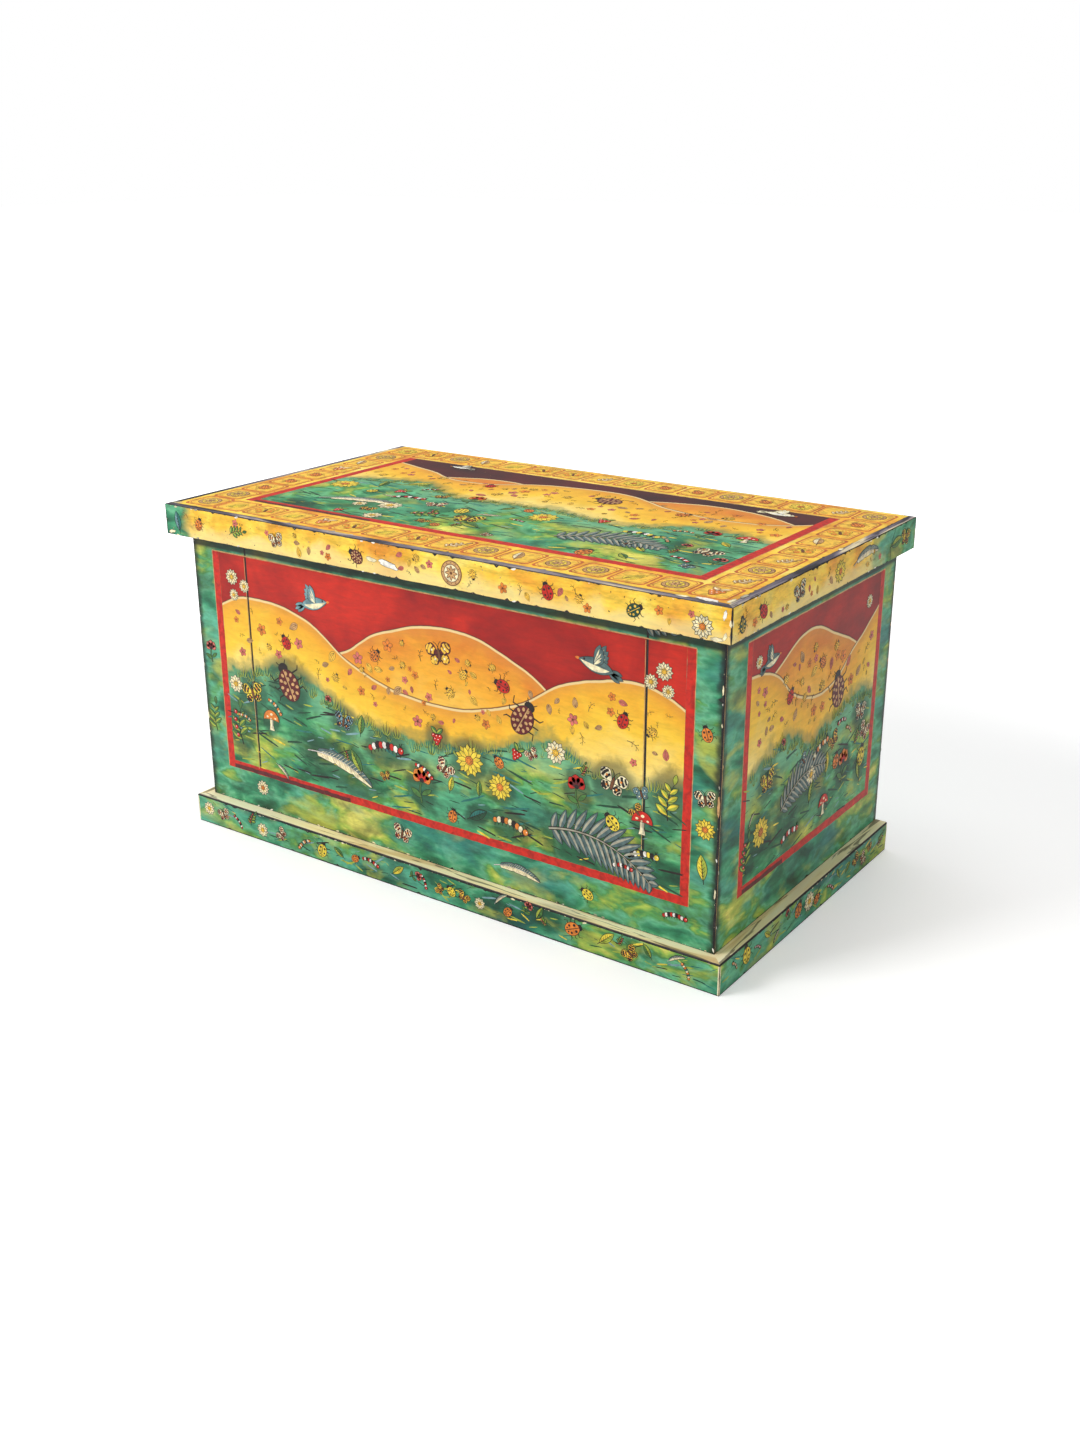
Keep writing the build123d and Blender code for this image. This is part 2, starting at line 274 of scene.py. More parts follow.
class Brush:
    """A material and its nodes, with a short method for each kind of stroke."""

    def __init__(self, name: str, roughness: float, bump: float = 0.0, metal: float = 0.0) -> None:
        """Start a material.

        Args:
            name: The finish's name.
            roughness: The gloss, from 0 for a mirror to 1 for chalk.
            bump: Strength of the surface relief.
            metal: 1 for a metal, 0 for anything else.
        """
        self.material = bpy.data.materials.new(name)
        self.material.use_nodes = True
        self.tree = self.material.node_tree
        self.skin = self.tree.nodes["Principled BSDF"]
        self.skin.inputs["Roughness"].default_value = roughness
        self.skin.inputs["Metallic"].default_value = metal
        self.relief = bump
        self.add = partial(add_node, self.tree)
        coordinates = self.add("ShaderNodeTexCoord")
        self.place = coordinates.outputs["Object"]
        self.facing = coordinates.outputs["Normal"]

    def sum(self, operation: str, *terms: object, clamp: bool = False) -> Socket:
        """Work out a number."""
        node = self.add("ShaderNodeMath", dict(enumerate(terms)), operation=operation, use_clamp=clamp)
        return node.outputs[0]

    def mix(self, share: object, below: object, above: object, how: str = "MIX") -> Socket:
        """Lay one colour over another."""
        node = self.add("ShaderNodeMix", {0: share, 6: below, 7: above}, data_type="RGBA", blend_type=how)
        return node.outputs[2]

    def glaze(self, share: Socket, most: float, below: object, above: Colour) -> Socket:
        """Lay a thin colour over another, at most so strongly."""
        return self.mix(self.sum("MULTIPLY", share, most), below, above)

    def noise(
        self, scale: float, detail: float = 4.0, twist: float = 0.0, shift: float = 0.0,
        stretch: Sequence[float] = (1.0, 1.0, 1.0),
    ) -> Socket:
        """Cloudy variation.

        Args:
            scale: Blotches for each metre.
            detail: How much finer variation it holds.
            twist: How much it is stirred.
            shift: A move, so that two textures differ.
            stretch: The stretch along each axis.

        Returns:
            A number near one half.
        """
        inputs = {"Vector": self.place, "Scale": stretch, "Location": (shift,) * 3}
        place = self.add("ShaderNodeMapping", inputs).outputs[0]
        inputs = {"Vector": place, "Scale": scale, "Detail": detail, "Distortion": twist}
        return self.add("ShaderNodeTexNoise", inputs).outputs[0]

    def ramp(self, share: Socket, *stops: tuple[float, Colour]) -> Socket:
        """Turn a number into a colour.

        Args:
            share: The number.
            stops: Each a number and its colour, in rising order.

        Returns:
            The colour.
        """
        node = self.add("ShaderNodeValToRGB", {"Fac": share})
        points = node.color_ramp.elements
        while len(points) < len(stops):
            points.new(0.5)
        for point, (where, colour) in zip(points, stops):
            point.position = where
            point.color = (*colour, 1.0)
        return node.outputs[0]

    def step(self, value: object, low: float, high: float) -> Socket:
        """A soft step from 0 to 1."""
        inputs = {0: value, 1: low, 2: high}
        return self.add("ShaderNodeMapRange", inputs, interpolation_type="SMOOTHSTEP").outputs[0]

    def line(self, where: Socket, knots: Sequence[Point]) -> Socket:
        """A curved line across a picture.

        Args:
            where: The share of the way across.
            knots: The points that the line runs through.

        Returns:
            The height at each place.
        """
        node = self.add("ShaderNodeFloatCurve", {"Value": where})
        curve = node.mapping.curves[0]
        curve.points[0].location = knots[0]
        curve.points[-1].location = knots[-1]
        for knot in knots[1:-1]:
            curve.points.new(*knot)
        node.mapping.update()
        return node.outputs[0]

    def along(self, way: Vector) -> Socket:
        """The distance along a direction."""
        node = self.add("ShaderNodeVectorMath", {0: self.place, 1: way}, operation="DOT_PRODUCT")
        return node.outputs["Value"]

    def faces(self, way: Vector, low: float = 0.55, high: float = 0.8) -> Socket:
        """Where the surface looks a certain way."""
        node = self.add("ShaderNodeVectorMath", {0: self.facing, 1: way}, operation="DOT_PRODUCT")
        return self.step(node.outputs["Value"], low, high)

    def finish(self, colour: object, height: Socket | None = None) -> Finish:
        """Close the material.

        Args:
            colour: Its colour.
            height: The relief that the light shows.

        Returns:
            The material.
        """
        if isinstance(colour, Socket):
            self.tree.links.new(colour, self.skin.inputs["Base Color"])
        else:
            self.skin.inputs["Base Color"].default_value = (*colour, 1.0)
        if height is not None and self.relief:
            inputs = {"Strength": self.relief, "Distance": 0.0006, "Height": height}
            bump = self.add("ShaderNodeBump", inputs)
            self.tree.links.new(bump.outputs[0], self.skin.inputs["Normal"])
        return self.material

    def varnish(self) -> None:
        """Give the surface a satin clear coat."""
        for name, value in (("Specular IOR Level", 0.32), ("Coat Weight", 0.10), ("Coat Roughness", 0.24)):
            self.skin.inputs[name].default_value = value


def meadow(brush: Brush, shift: float = 0.0) -> Socket:
    """The mottled teal, green and yellow-green paint of the borders and the low ground.

    Args:
        brush: The material to paint in.
        shift: A move, so that two boards differ.

    Returns:
        The colour.
    """
    flow = (1.0, 1.0, 1.9)
    clouds = brush.noise(5.5, 6.0, 0.5, shift, flow)
    dabs = brush.noise(17.0, 8.0, 0.5, shift + 3.1, flow)
    blend = brush.sum("MULTIPLY_ADD", brush.sum("SUBTRACT", dabs, 0.5), 0.85, clouds)
    ground = brush.ramp(
        blend,
        (0.28, linear(22, 72, 60)),
        (0.37, linear(36, 112, 88)),
        (0.45, linear(58, 146, 114)),
        (0.52, linear(100, 176, 148)),
        (0.59, linear(78, 146, 84)),
        (0.66, linear(150, 178, 80)),
        (0.76, linear(214, 208, 110)),
    )
    for scale, detail, twist, move, low, high, share, tint in (
        (8.0, 7.0, 0.4, 7.7, 0.52, 0.66, 0.70, linear(84, 170, 158)),
        (12.0, 8.0, 0.5, 11.3, 0.53, 0.68, 0.58, linear(22, 66, 46)),
        (11.0, 9.0, 0.5, 15.9, 0.53, 0.68, 0.75, linear(180, 184, 84)),
        (6.0, 6.0, 0.4, 51.0, 0.55, 0.70, 0.60, linear(40, 116, 132)),
    ):
        patches = brush.step(brush.noise(scale, detail, twist, shift + move, flow), low, high)
        ground = brush.glaze(patches, share, ground, tint)
    return strokes(brush, ground, shift)


def strokes(brush: Brush, ground: Socket, shift: float = 0.0, depth: float = 0.24) -> Socket:
    """Drag brush marks through a colour.

    Args:
        brush: The material to paint in.
        ground: The colour below.
        shift: A move, so that two boards differ.
        depth: How strongly the marks show.

    Returns:
        The colour with the marks in it.
    """
    long_marks = brush.noise(34.0, 5.0, 0.4, shift + 19.0, (1.0, 1.0, 4.0))
    fine_marks = brush.noise(150.0, 3.0, 0.3, shift + 23.0, (1.0, 1.0, 3.0))
    marks = brush.sum("MULTIPLY_ADD", fine_marks, 0.45, long_marks)
    blue = 0.80
    shades = ((0.52, 1 - depth), (0.72, 1.0), (0.92, 1 + depth))
    tone = brush.ramp(marks, *((at, (light, light, blue * light)) for at, light in shades))
    return brush.mix(1.0, ground, tone, "MULTIPLY")


def level(knots: Sequence[Point], where: float) -> float:
    """The height of a line at one place.

    Args:
        knots: The points that the line runs through.
        where: The share of the way across.

    Returns:
        The height.
    """
    for (low, start), (high, end) in zip(knots, knots[1:]):
        if where <= high:
            return start + (end - start) * (where - low) / (high - low)
    return knots[-1][1]


@dataclass(frozen=True)
class GreenPaper:
    """The mottled green paper of the borders, the plinth and the back."""

    shift: float = 0.0

    def material(self) -> Finish:
        """The finish."""
        brush = Brush("green_paper", 0.42, 0.25)
        brush.varnish()
        return brush.finish(meadow(brush, self.shift), brush.noise(90.0, 4.0))


FAR_TINTS = (linear(222, 128, 36), linear(242, 172, 48), linear(248, 212, 110))
NEAR_TINTS = (linear(238, 166, 36), linear(248, 200, 60), linear(252, 238, 176))


@dataclass(frozen=True)
class Landscape:
    """The large picture on a face: a dark sky, far and near hills, and a meadow below them.

    The lines are drawn across the panel, as shares of its width and height. The panel is the area
    inside the red stripe, and the paper round it is mottled green or gold.
    """

    name: str
    face: Face
    panel: Panel
    sky: tuple[Colour, Colour]
    far_hills: Sequence[Point]
    near_hills: Sequence[Point]
    meadow_edge: Sequence[Point]
    shift: float = 0.0
    golden_border: bool = False
    dark_above: float = 9.0
    half_width: float = 9.0
    middle: float = 0.0
    halos: Sequence[Spot] = ()

    def material(self) -> Finish:
        """The finish."""
        brush = Brush(self.name, 0.40, 0.22)
        brush.varnish()
        u = brush.along(self.face.right)
        v = brush.along(self.face.up)
        stir = brush.sum("SUBTRACT", brush.noise(14.0, 4.0, 0.3, self.shift + 2.0), 0.5)
        tremble = brush.sum("SUBTRACT", brush.noise(70.0, 5.0, 0.6, self.shift + 5.0), 0.5)
        across = brush.sum("DIVIDE", brush.sum("SUBTRACT", u, self.panel.left), self.panel.width, clamp=True)
        height = brush.sum("DIVIDE", brush.sum("SUBTRACT", v, self.panel.bottom), self.panel.height)

        colour = self.sky_colour(brush)
        for knots, tints in ((self.far_hills, FAR_TINTS), (self.near_hills, NEAR_TINTS)):
            depth = brush.sum("SUBTRACT", brush.line(across, knots), height)
            depth = brush.sum("MULTIPLY_ADD", stir, 0.02, depth)
            colour = self.hill(brush, colour, depth, *tints)
        below = brush.sum("SUBTRACT", brush.line(across, self.meadow_edge), height)
        below = brush.sum("MULTIPLY_ADD", stir, 0.16, below)
        rough = brush.sum("MULTIPLY_ADD", tremble, 0.11, below)
        water = brush.ramp(
            below, (0.0, linear(72, 124, 92)), (0.07, linear(112, 178, 146)), (0.22, linear(64, 150, 132))
        )
        ground = brush.mix(brush.step(below, 0.05, 0.20), water, meadow(brush, self.shift + 31.0))
        ground = strokes(brush, ground, self.shift + 40.0, 0.16)
        colour = brush.mix(brush.step(rough, -0.012, 0.030), colour, ground)
        colour = self.shaded(brush, colour, u, v, tremble)
        haze = brush.sum("MULTIPLY", brush.step(rough, -0.055, -0.008), brush.step(rough, 0.03, -0.005))
        colour = brush.glaze(haze, 0.45, colour, linear(70, 104, 72))

        border = golden(brush, self.shift) if self.golden_border else meadow(brush, self.shift)
        inside = self.inside(brush, u, v, tremble)
        colour = brush.mix(inside, border, colour)
        lid_shade = brush.step(v, self.dark_above - 0.001, self.dark_above + 0.004)
        colour = brush.glaze(lid_shade, 0.88, colour, linear(10, 26, 20))
        # Darker towards the upright corners: partly the worn dark paint at the arris, partly painted shade along the
        # corners.
        corner = brush.sum("ABSOLUTE", brush.sum("SUBTRACT", u, self.middle))
        corner = brush.sum("MULTIPLY_ADD", tremble, 0.012, corner)
        worn = brush.step(corner, self.half_width - 0.013, self.half_width - 0.003)
        colour = brush.glaze(worn, 0.85, colour, linear(18, 24, 22))
        return brush.finish(colour, brush.noise(85.0, 4.0))

    def shaded(self, brush: Brush, colour: Socket, u: Socket, v: Socket, tremble: Socket) -> Socket:
        """Darken the paint softly round the main motifs of the meadow.

        Args:
            brush: The material to paint in.
            colour: The colour below.
            u: Distance along the face.
            v: Height on the face.
            tremble: A fine unevenness.

        Returns:
            The colour with the soft shade in it.
        """
        place, nearest = brush.add("ShaderNodeCombineXYZ", {"X": u, "Y": v}).outputs[0], 9.0
        for spot in self.halos:
            long, wide, way, middle = spot.reach()
            inputs = {
                "Vector": place, "Location": (*middle, 0.0), "Rotation": (0.0, 0.0, way),
                "Scale": (long, wide, 1.0),
            }
            local = brush.add("ShaderNodeMapping", inputs, vector_type="TEXTURE").outputs[0]
            reach = brush.add("ShaderNodeVectorMath", {0: local}, operation="LENGTH").outputs["Value"]
            nearest = brush.sum("MINIMUM", nearest, reach)
        nearest = brush.sum("MULTIPLY_ADD", tremble, 0.9, nearest)
        dark = brush.sum("MULTIPLY", brush.step(nearest, 1.5, 0.85), 0.66)
        return brush.mix(dark, colour, linear(14, 52, 38))

    def shares(self, u: float, v: float) -> Point:
        """A place as shares of the panel's width and height."""
        return (u - self.panel.left) / self.panel.width, (v - self.panel.bottom) / self.panel.height

    def golden_at(self, u: float, v: float) -> bool:
        """Whether a place lies well inside the hills.

        Args:
            u: Distance along the face.
            v: Height on the face.

        Returns:
            True on the hills.
        """
        across, height = self.shares(u, v)
        crest = max(level(self.far_hills, across), level(self.near_hills, across))
        return level(self.meadow_edge, across) + 0.07 < height < crest - 0.05

    def grassy_at(self, u: float, v: float) -> bool:
        """Whether a place lies well inside the meadow."""
        across, height = self.shares(u, v)
        return height < level(self.meadow_edge, across) - 0.04

    def sky_colour(self, brush: Brush) -> Socket:
        """The dark sky with its brush marks.

        Args:
            brush: The material to paint in.

        Returns:
            The colour.
        """
        clouds = brush.noise(8.0, 6.0, 0.8, self.shift + 9.0)
        sky = brush.ramp(clouds, (0.36, self.sky[0]), (0.62, self.sky[1]))
        return strokes(brush, sky, self.shift + 13.0, 0.14)

    def hill(
        self, brush: Brush, behind: Socket, depth: Socket,
        crest: Colour, middle: Colour, foot: Colour,
    ) -> Socket:
        """Paint a hill in front of what is there.

        Args:
            brush: The material to paint in.
            behind: The colour behind the hill.
            depth: How far below the skyline a place lies.
            crest: The colour along the skyline.
            middle: The colour below it.
            foot: The colour at the foot.

        Returns:
            The colour with the hill in it.
        """
        patches = brush.sum("SUBTRACT", brush.noise(18.0, 6.0, 0.9, self.shift + 27.0), 0.5)
        deep = brush.sum("MULTIPLY_ADD", patches, 0.34, depth)
        sand = brush.ramp(deep, (0.0, crest), (0.20, middle), (0.52, foot))
        sand = strokes(brush, sand, self.shift + 29.0, 0.10)
        glow = brush.step(depth, 0.075, 0.0)
        sand = brush.glaze(glow, 0.5, sand, linear(214, 142, 62))
        sand = brush.mix(brush.step(depth, 0.012, 0.009), sand, linear(236, 208, 146))
        outline = brush.mix(brush.step(depth, -0.008, -0.001), behind, linear(90, 30, 22))
        return brush.mix(brush.step(depth, -0.0008, 0.0008), outline, sand)

    def inside(self, brush: Brush, u: Socket, v: Socket, tremble: Socket) -> Socket:
        """Where the picture lies.

        Args:
            brush: The material to paint in.
            u: Distance along the face.
            v: Height on the face.
            tremble: A fine unevenness.

        Returns:
            1 inside the panel and 0 on the border.
        """
        shake, soft, share = brush.sum("MULTIPLY", tremble, 0.002), 0.0006, None
        for value, limit, sense in (
            (u, self.panel.left, 1), (u, self.panel.right, -1), (v, self.panel.bottom, 1), (v, self.panel.top, -1)
        ):
            edge = brush.sum("ADD", value, shake)
            side = brush.step(edge, limit - soft * sense, limit + soft * sense)
            share = side if share is None else brush.sum("MULTIPLY", share, side)
        return share


def golden(brush: Brush, shift: float = 0.0) -> Socket:
    """The golden paint of the lid's border and edges.

    Args:
        brush: The material to paint in.
        shift: A move, so that two boards differ.

    Returns:
        The colour.
    """
    clouds = brush.noise(11.0, 6.0, 0.8, shift + 4.0)
    sand = brush.ramp(
        clouds,
        (0.34, linear(224, 146, 44)),
        (0.46, linear(244, 188, 58)),
        (0.58, linear(250, 212, 84)),
        (0.72, linear(248, 230, 142)),
    )
    stains = brush.step(brush.noise(24.0, 6.0, 1.2, shift + 8.0), 0.60, 0.74)
    sand = brush.glaze(stains, 0.35, sand, linear(196, 122, 58))
    return strokes(brush, sand, shift, 0.22)


@dataclass(frozen=True)
class GoldenPaper:
    """The golden paper of the lid's edges, paler below and green where the print runs out."""

    name: str
    along: Vector
    green_from: float
    green_to: float
    bottom: float
    top: float
    shift: float = 0.0

    def material(self) -> Finish:
        """The finish."""
        brush = Brush(self.name, 0.42, 0.22)
        brush.varnish()
        sand = golden(brush, self.shift)
        rise = brush.sum("SUBTRACT", brush.along(UPWARD), self.bottom)
        rise = brush.sum("DIVIDE", rise, self.top - self.bottom)
        waver = brush.sum("SUBTRACT", brush.noise(16.0, 5.0, 0.6, self.shift), 0.5)
        waver = brush.sum("MULTIPLY_ADD", waver, 1.4, rise)
        sand = brush.mix(brush.sum("MULTIPLY", brush.step(waver, 0.62, 0.15), 0.6), sand, linear(244, 226, 158))
        where = brush.along(self.along)
        wander = brush.sum("SUBTRACT", brush.noise(30.0, 5.0, 0.8, self.shift + 6.0), 0.5)
        where = brush.sum("MULTIPLY_ADD", wander, 0.09, where)
        colour = brush.mix(brush.step(where, self.green_from, self.green_to), sand, meadow(brush, self.shift))
        return brush.finish(colour, brush.noise(90.0, 4.0))


@dataclass(frozen=True)
class PrintInk:
    """Flat printed ink, whose colour each piece carries itself."""

    def material(self) -> Finish:
        """The finish."""
        brush = Brush("print_ink", 0.40)
        brush.varnish()
        ink = brush.add("ShaderNodeAttribute", attribute_name=INK_ATTRIBUTE).outputs["Color"]
        cloud = brush.noise(120.0, 5.0, 0.6)
        tone = brush.ramp(cloud, (0.34, (0.66, 0.66, 0.66)), (0.5, (0.96, 0.96, 0.96)), (0.68, (1.2, 1.2, 1.16)))
        return brush.finish(brush.mix(1.0, ink, tone, "MULTIPLY"))


class Ledge(Enum):
    """What a board's upper edge looks like."""

    AS_BOARD = "as the board"
    CREAM = "pale and scuffed"
    GREY = "dark violet-grey"


@dataclass(frozen=True)
class BoardPaint:
    """A board: bare varnished wood inside, dark worn paint on the outside, its own look on the ledge."""

    name: str
    outward: Vector
    ledge: Ledge = Ledge.AS_BOARD
    grain: Vector = RIGHTWARD

    def material(self) -> Finish:
        """The finish."""
        brush = Brush(self.name, 0.55, 0.3)
        wood = timber(brush, self.grain)
        colour = brush.mix(brush.faces(self.outward, 0.05, 0.2), wood, self.under_paint(brush))
        if self.ledge is not Ledge.AS_BOARD:
            top = self.cream_ledge(brush) if self.ledge is Ledge.CREAM else self.grey_band(brush)
            if abs(self.grain.y) > 0.5:
                colour = brush.mix(brush.faces(BACKWARD), colour, self.under_paint(brush))
            colour = brush.mix(brush.faces(UPWARD, 0.80, 0.95), colour, top)
        return brush.finish(colour, brush.noise(160.0, 5.0))

    def under_paint(self, brush: Brush) -> Socket:
        """The near-black paint that shows where the paper has gone."""
        wear = brush.noise(70.0, 6.0, 0.6)
        return brush.ramp(wear, (0.38, linear(12, 10, 10)), (0.60, linear(22, 19, 19)), (0.76, linear(74, 64, 52)))

    def cream_ledge(self, brush: Brush) -> Socket:
        """The pale ledge with its dark scuffs.

        Args:
            brush: The material to paint in.

        Returns:
            The colour.
        """
        streak = tuple(0.09 if abs(part) > 0.5 else 1.0 for part in self.grain)
        tone = brush.noise(46.0, 6.0, 0.5, 1.0, streak)
        cream = brush.ramp(
            tone, (0.32, linear(228, 198, 140)), (0.42, linear(255, 238, 186)), (0.64, linear(255, 247, 208))
        )
        leaning = brush.sum("MULTIPLY", brush.along(RIGHTWARD), -0.10)
        scuffs = brush.noise(30.0, 8.0, 1.0, 5.0, streak)
        scuffs = brush.step(brush.sum("ADD", scuffs, leaning), 0.60, 0.74)
        cream = brush.glaze(scuffs, 0.75, cream, linear(112, 96, 78))
        fine = brush.step(brush.noise(110.0, 6.0, 0.8, 9.0, streak), 0.565, 0.62)
        return brush.glaze(fine, 0.72, cream, linear(70, 56, 40))

    def grey_band(self, brush: Brush) -> Socket:
        """The dark violet-grey band round the lid's top.

        Args:
            brush: The material to paint in.

        Returns:
            The colour.
        """
        streak = tuple(0.12 if abs(part) > 0.5 else 1.0 for part in self.grain)
        tone = brush.noise(52.0, 8.0, 0.8, 2.0, streak)
        grey = brush.ramp(
            tone,
            (0.36, linear(34, 30, 34)),
            (0.48, linear(84, 78, 90)),
            (0.58, linear(140, 130, 136)),
            (0.68, linear(228, 212, 168)),
        )
        fine = brush.step(brush.noise(170.0, 6.0, 0.8, 7.0, streak), 0.55, 0.64)
        return brush.glaze(fine, 0.7, grey, linear(24, 20, 22))


def timber(brush: Brush, grain: Vector) -> Socket:
    """Clear-finished softwood.

    Args:
        brush: The material to paint in.
        grain: The way the grain runs.

    Returns:
        The colour.
    """
    squash = tuple(0.07 if abs(part) > 0.5 else 1.0 for part in grain)
    rings = brush.noise(32.0, 6.0, 1.2, 1.0, squash)
    wood = brush.ramp(
        rings, (0.34, linear(176, 132, 84)), (0.5, linear(206, 164, 112)), (0.64, linear(222, 186, 136))
    )
    pores = brush.step(brush.noise(260.0, 4.0, 0.2, 3.0, squash), 0.56, 0.68)
    return brush.glaze(pores, 0.45, wood, linear(138, 96, 58))


@dataclass(frozen=True)
class Timber:
    """Plain varnished wood."""

    name: str
    grain: Vector = RIGHTWARD

    def material(self) -> Finish:
        """The finish."""
        brush = Brush(self.name, 0.5, 0.25)
        return brush.finish(timber(brush, self.grain), brush.noise(200.0, 4.0))


@dataclass(frozen=True)
class Metal:
    """Brushed metal with dull patches."""

    name: str
    bright: Colour
    dull: Colour
    roughness: float

    def material(self) -> Finish:
        """The finish."""
        brush = Brush(self.name, self.roughness, 0.15, 1.0)
        patches = brush.noise(60.0, 6.0, 0.6)
        colour = brush.ramp(patches, (0.36, self.dull), (0.60, self.bright))
        scratches = brush.noise(900.0, 3.0, 0.0, 2.0, (0.08, 1.0, 1.0))
        return brush.finish(colour, scratches)


@dataclass(frozen=True)
class Felt:
    """Dark pressed felt."""

    def material(self) -> Finish:
        """The finish."""
        brush = Brush("felt", 0.95, 0.6)
        fibres = brush.noise(1400.0, 4.0, 0.6)
        return brush.finish(brush.ramp(fibres, (0.3, linear(24, 22, 22)), (0.7, linear(66, 62, 60))), fibres)


def winding(outline: Outline) -> float:
    """Twice an outline's area, above 0 where it runs counter-clockwise."""
    return sum(a[0] * b[1] - b[0] * a[1] for a, b in zip(outline, outline[1:] + outline[:1]))


class Artwork:
    """A set of thin flat cut-outs that lie on one face, each with its own ink."""

    def __init__(self, name: str, face: Face, base: float = SHEET) -> None:
        """Start an empty set.

        Args:
            name: The piece's name.
            face: The side it lies on.
            base: The height of the surface below.
        """
        self.name = name
        self.face = face
        self.base = base
        self.places: list[Vector] = []
        self.polygons: list[list[int]] = []
        self.inks: list[Colour] = []

    def cut(self, outline: Outline, ink: Colour, layer: float) -> None:
        """Add a cut-out.

        Args:
            outline: Its points, counter-clockwise.
            ink: Its colour.
            layer: Its height, in layers of ink.
        """
        points = outline if winding(outline) > 0 else outline[::-1]
        first, count = len(self.places), len(points)
        top = self.base + INK_LAYER * layer
        self.places += [self.face.at(u, v, self.base) for u, v in points]
        self.places += [self.face.at(u, v, top) for u, v in points]
        low = list(range(first, first + count))
        high = list(range(first + count, first + 2 * count))
        self.polygons.append(high)
        self.polygons.append(low[::-1])
        for n in range(count):
            m = (n + 1) % count
            self.polygons.append([low[n], low[m], high[m], high[n]])
        self.inks += [ink] * (count + 2)

    def piece(self, material: Finish) -> Thing:
        """Make the set one object.

        Args:
            material: The ink's finish.

        Returns:
            The object.
        """
        mesh = bpy.data.meshes.new(self.name)
        mesh.from_pydata(self.places, [], self.polygons)
        layer = mesh.color_attributes.new(INK_ATTRIBUTE, "FLOAT_COLOR", "CORNER")
        for polygon, ink in zip(mesh.polygons, self.inks):
            for corner in polygon.loop_indices:
                layer.data[corner].color = (*ink, 1.0)
        mesh.materials.append(material)
        return stand(self.name, mesh)


def ellipse(rx: float, ry: float, x: float = 0.0, y: float = 0.0, turn: float = 0.0, count: int = 20) -> Outline:
    """A round or oval outline.

    Args:
        rx: Half its length.
        ry: Half its width.
        x: Its centre.
        y: Its centre.
        turn: Its turn in degrees.
        count: Its points.

    Returns:
        The outline.
    """
    c, s = cos(radians(turn)), sin(radians(turn))
    ring = [(rx * cos(tau * n / count), ry * sin(tau * n / count)) for n in range(count)]
    return [(x + c * a - s * b, y + s * a + c * b) for a, b in ring]


def blade(
    length: float, width: float, x: float = 0.0, y: float = 0.0, turn: float = 0.0, belly: float = 1.0,
    sides: tuple[float, float] = (1.0, 1.0), count: int = 9,
) -> Outline:
    """A pointed outline, such as a leaf or petal, that starts at a point.

    Args:
        length: Its length.
        width: Its whole width.
        x: Its foot.
        y: Its foot.
        turn: Its way in degrees from +X.
        belly: Over 1 to move the widest place towards the tip.
        sides: How much of each half is drawn.
        count: Points on each side.

    Returns:
        The outline.
    """
    c, s = cos(radians(turn)), sin(radians(turn))
    points = []
    for n in range(2 * count):
        share = n / count if n <= count else 2 - n / count
        side = -sides[0] if n <= count else sides[1]
        half = side * width / 2 * sin(pi * share**belly) ** 0.85 if 0 < share < 1 else 0.0
        points.append((x + c * length * share - s * half, y + s * length * share + c * half))
    return points


def ribbon(path: Outline, start: float, end: float) -> Outline:
    """A tapering stroke along a path.

    Args:
        path: The path's points.
        start: Width at its start.
        end: Width at its end.

    Returns:
        The outline.
    """
    left, right = [], []
    last = len(path) - 1
    for n, (x, y) in enumerate(path):
        a, b = path[max(0, n - 1)], path[min(last, n + 1)]
        run = dist(a, b) or 1.0
        half = (start + (end - start) * n / last) / 2
        dx, dy = -(b[1] - a[1]) / run * half, (b[0] - a[0]) / run * half
        left.append((x + dx, y + dy))
        right.append((x - dx, y - dy))
    return right + left[::-1]


def bow(a: Point, b: Point, rise: float, count: int = 8) -> Outline:
    """A bent path between two points.

    Args:
        a: The start.
        b: The end.
        rise: How far the middle stands to the left, as a share of the length.
        count: Its steps.

    Returns:
        The path.
    """
    dx, dy = b[0] - a[0], b[1] - a[1]
    steps = [n / count for n in range(count + 1)]
    return [
        (a[0] + dx * t - dy * rise * 4 * t * (1 - t), a[1] + dy * t + dx * rise * 4 * t * (1 - t))
        for t in steps
    ]


def swell(outline: Outline, amount: float) -> Outline:
    """Move each point of an outline outwards.

    Args:
        outline: A counter-clockwise outline.
        amount: The distance.

    Returns:
        The larger outline.
    """
    sense = 1.0 if winding(outline) > 0 else -1.0
    points = []
    for n, (x, y) in enumerate(outline):
        a, b = outline[n - 1], outline[(n + 1) % len(outline)]
        run = dist(a, b) or 1.0
        points.append((x + sense * (b[1] - a[1]) / run * amount, y - sense * (b[0] - a[0]) / run * amount))
    return points


@dataclass
class Pen:
    """Draws a motif of unit size at one place of an artwork."""

    art: Artwork
    u: float
    v: float
    size: float
    turn: float = 0.0
    flip: bool = False

    def put(self, outline: Outline, ink: Ink, layer: float = 3.0, tone: float = 1.0) -> None:
        """Cut a shape out.

        Args:
            outline: Its points in the motif's own units.
            ink: Its ink.
            layer: Its height.
            tone: How light the ink is.
        """
        c, s = cos(radians(self.turn)), sin(radians(self.turn))
        way = -1.0 if self.flip else 1.0
        placed = [
            (self.u + self.size * (c * x * way - s * y), self.v + self.size * (s * x * way + c * y))
            for x, y in outline
        ]
        self.art.cut(placed, tuple(tone * part for part in ink.light), layer)

    def edged(self, outline: Outline, ink: Ink, layer: float = 3.0, edge: Ink = Ink.DARK, tone: float = 1.0) -> None:
        """Cut a shape out with a drawn line round it.

        Args:
            outline: Its points in the motif's own units.
            ink: Its ink.
            layer: Its height.
            edge: The line's ink.
            tone: How light the ink is.
        """
        width = min(LINE, 0.026 * self.size) / self.size
        self.put(swell(outline, width), edge, layer - 0.3)
        self.put(outline, ink, layer, tone)


class Motif(Protocol):
    """Something small that a pen can draw."""

    def draw(self, pen: Pen) -> None:
        """Draw it at the pen."""


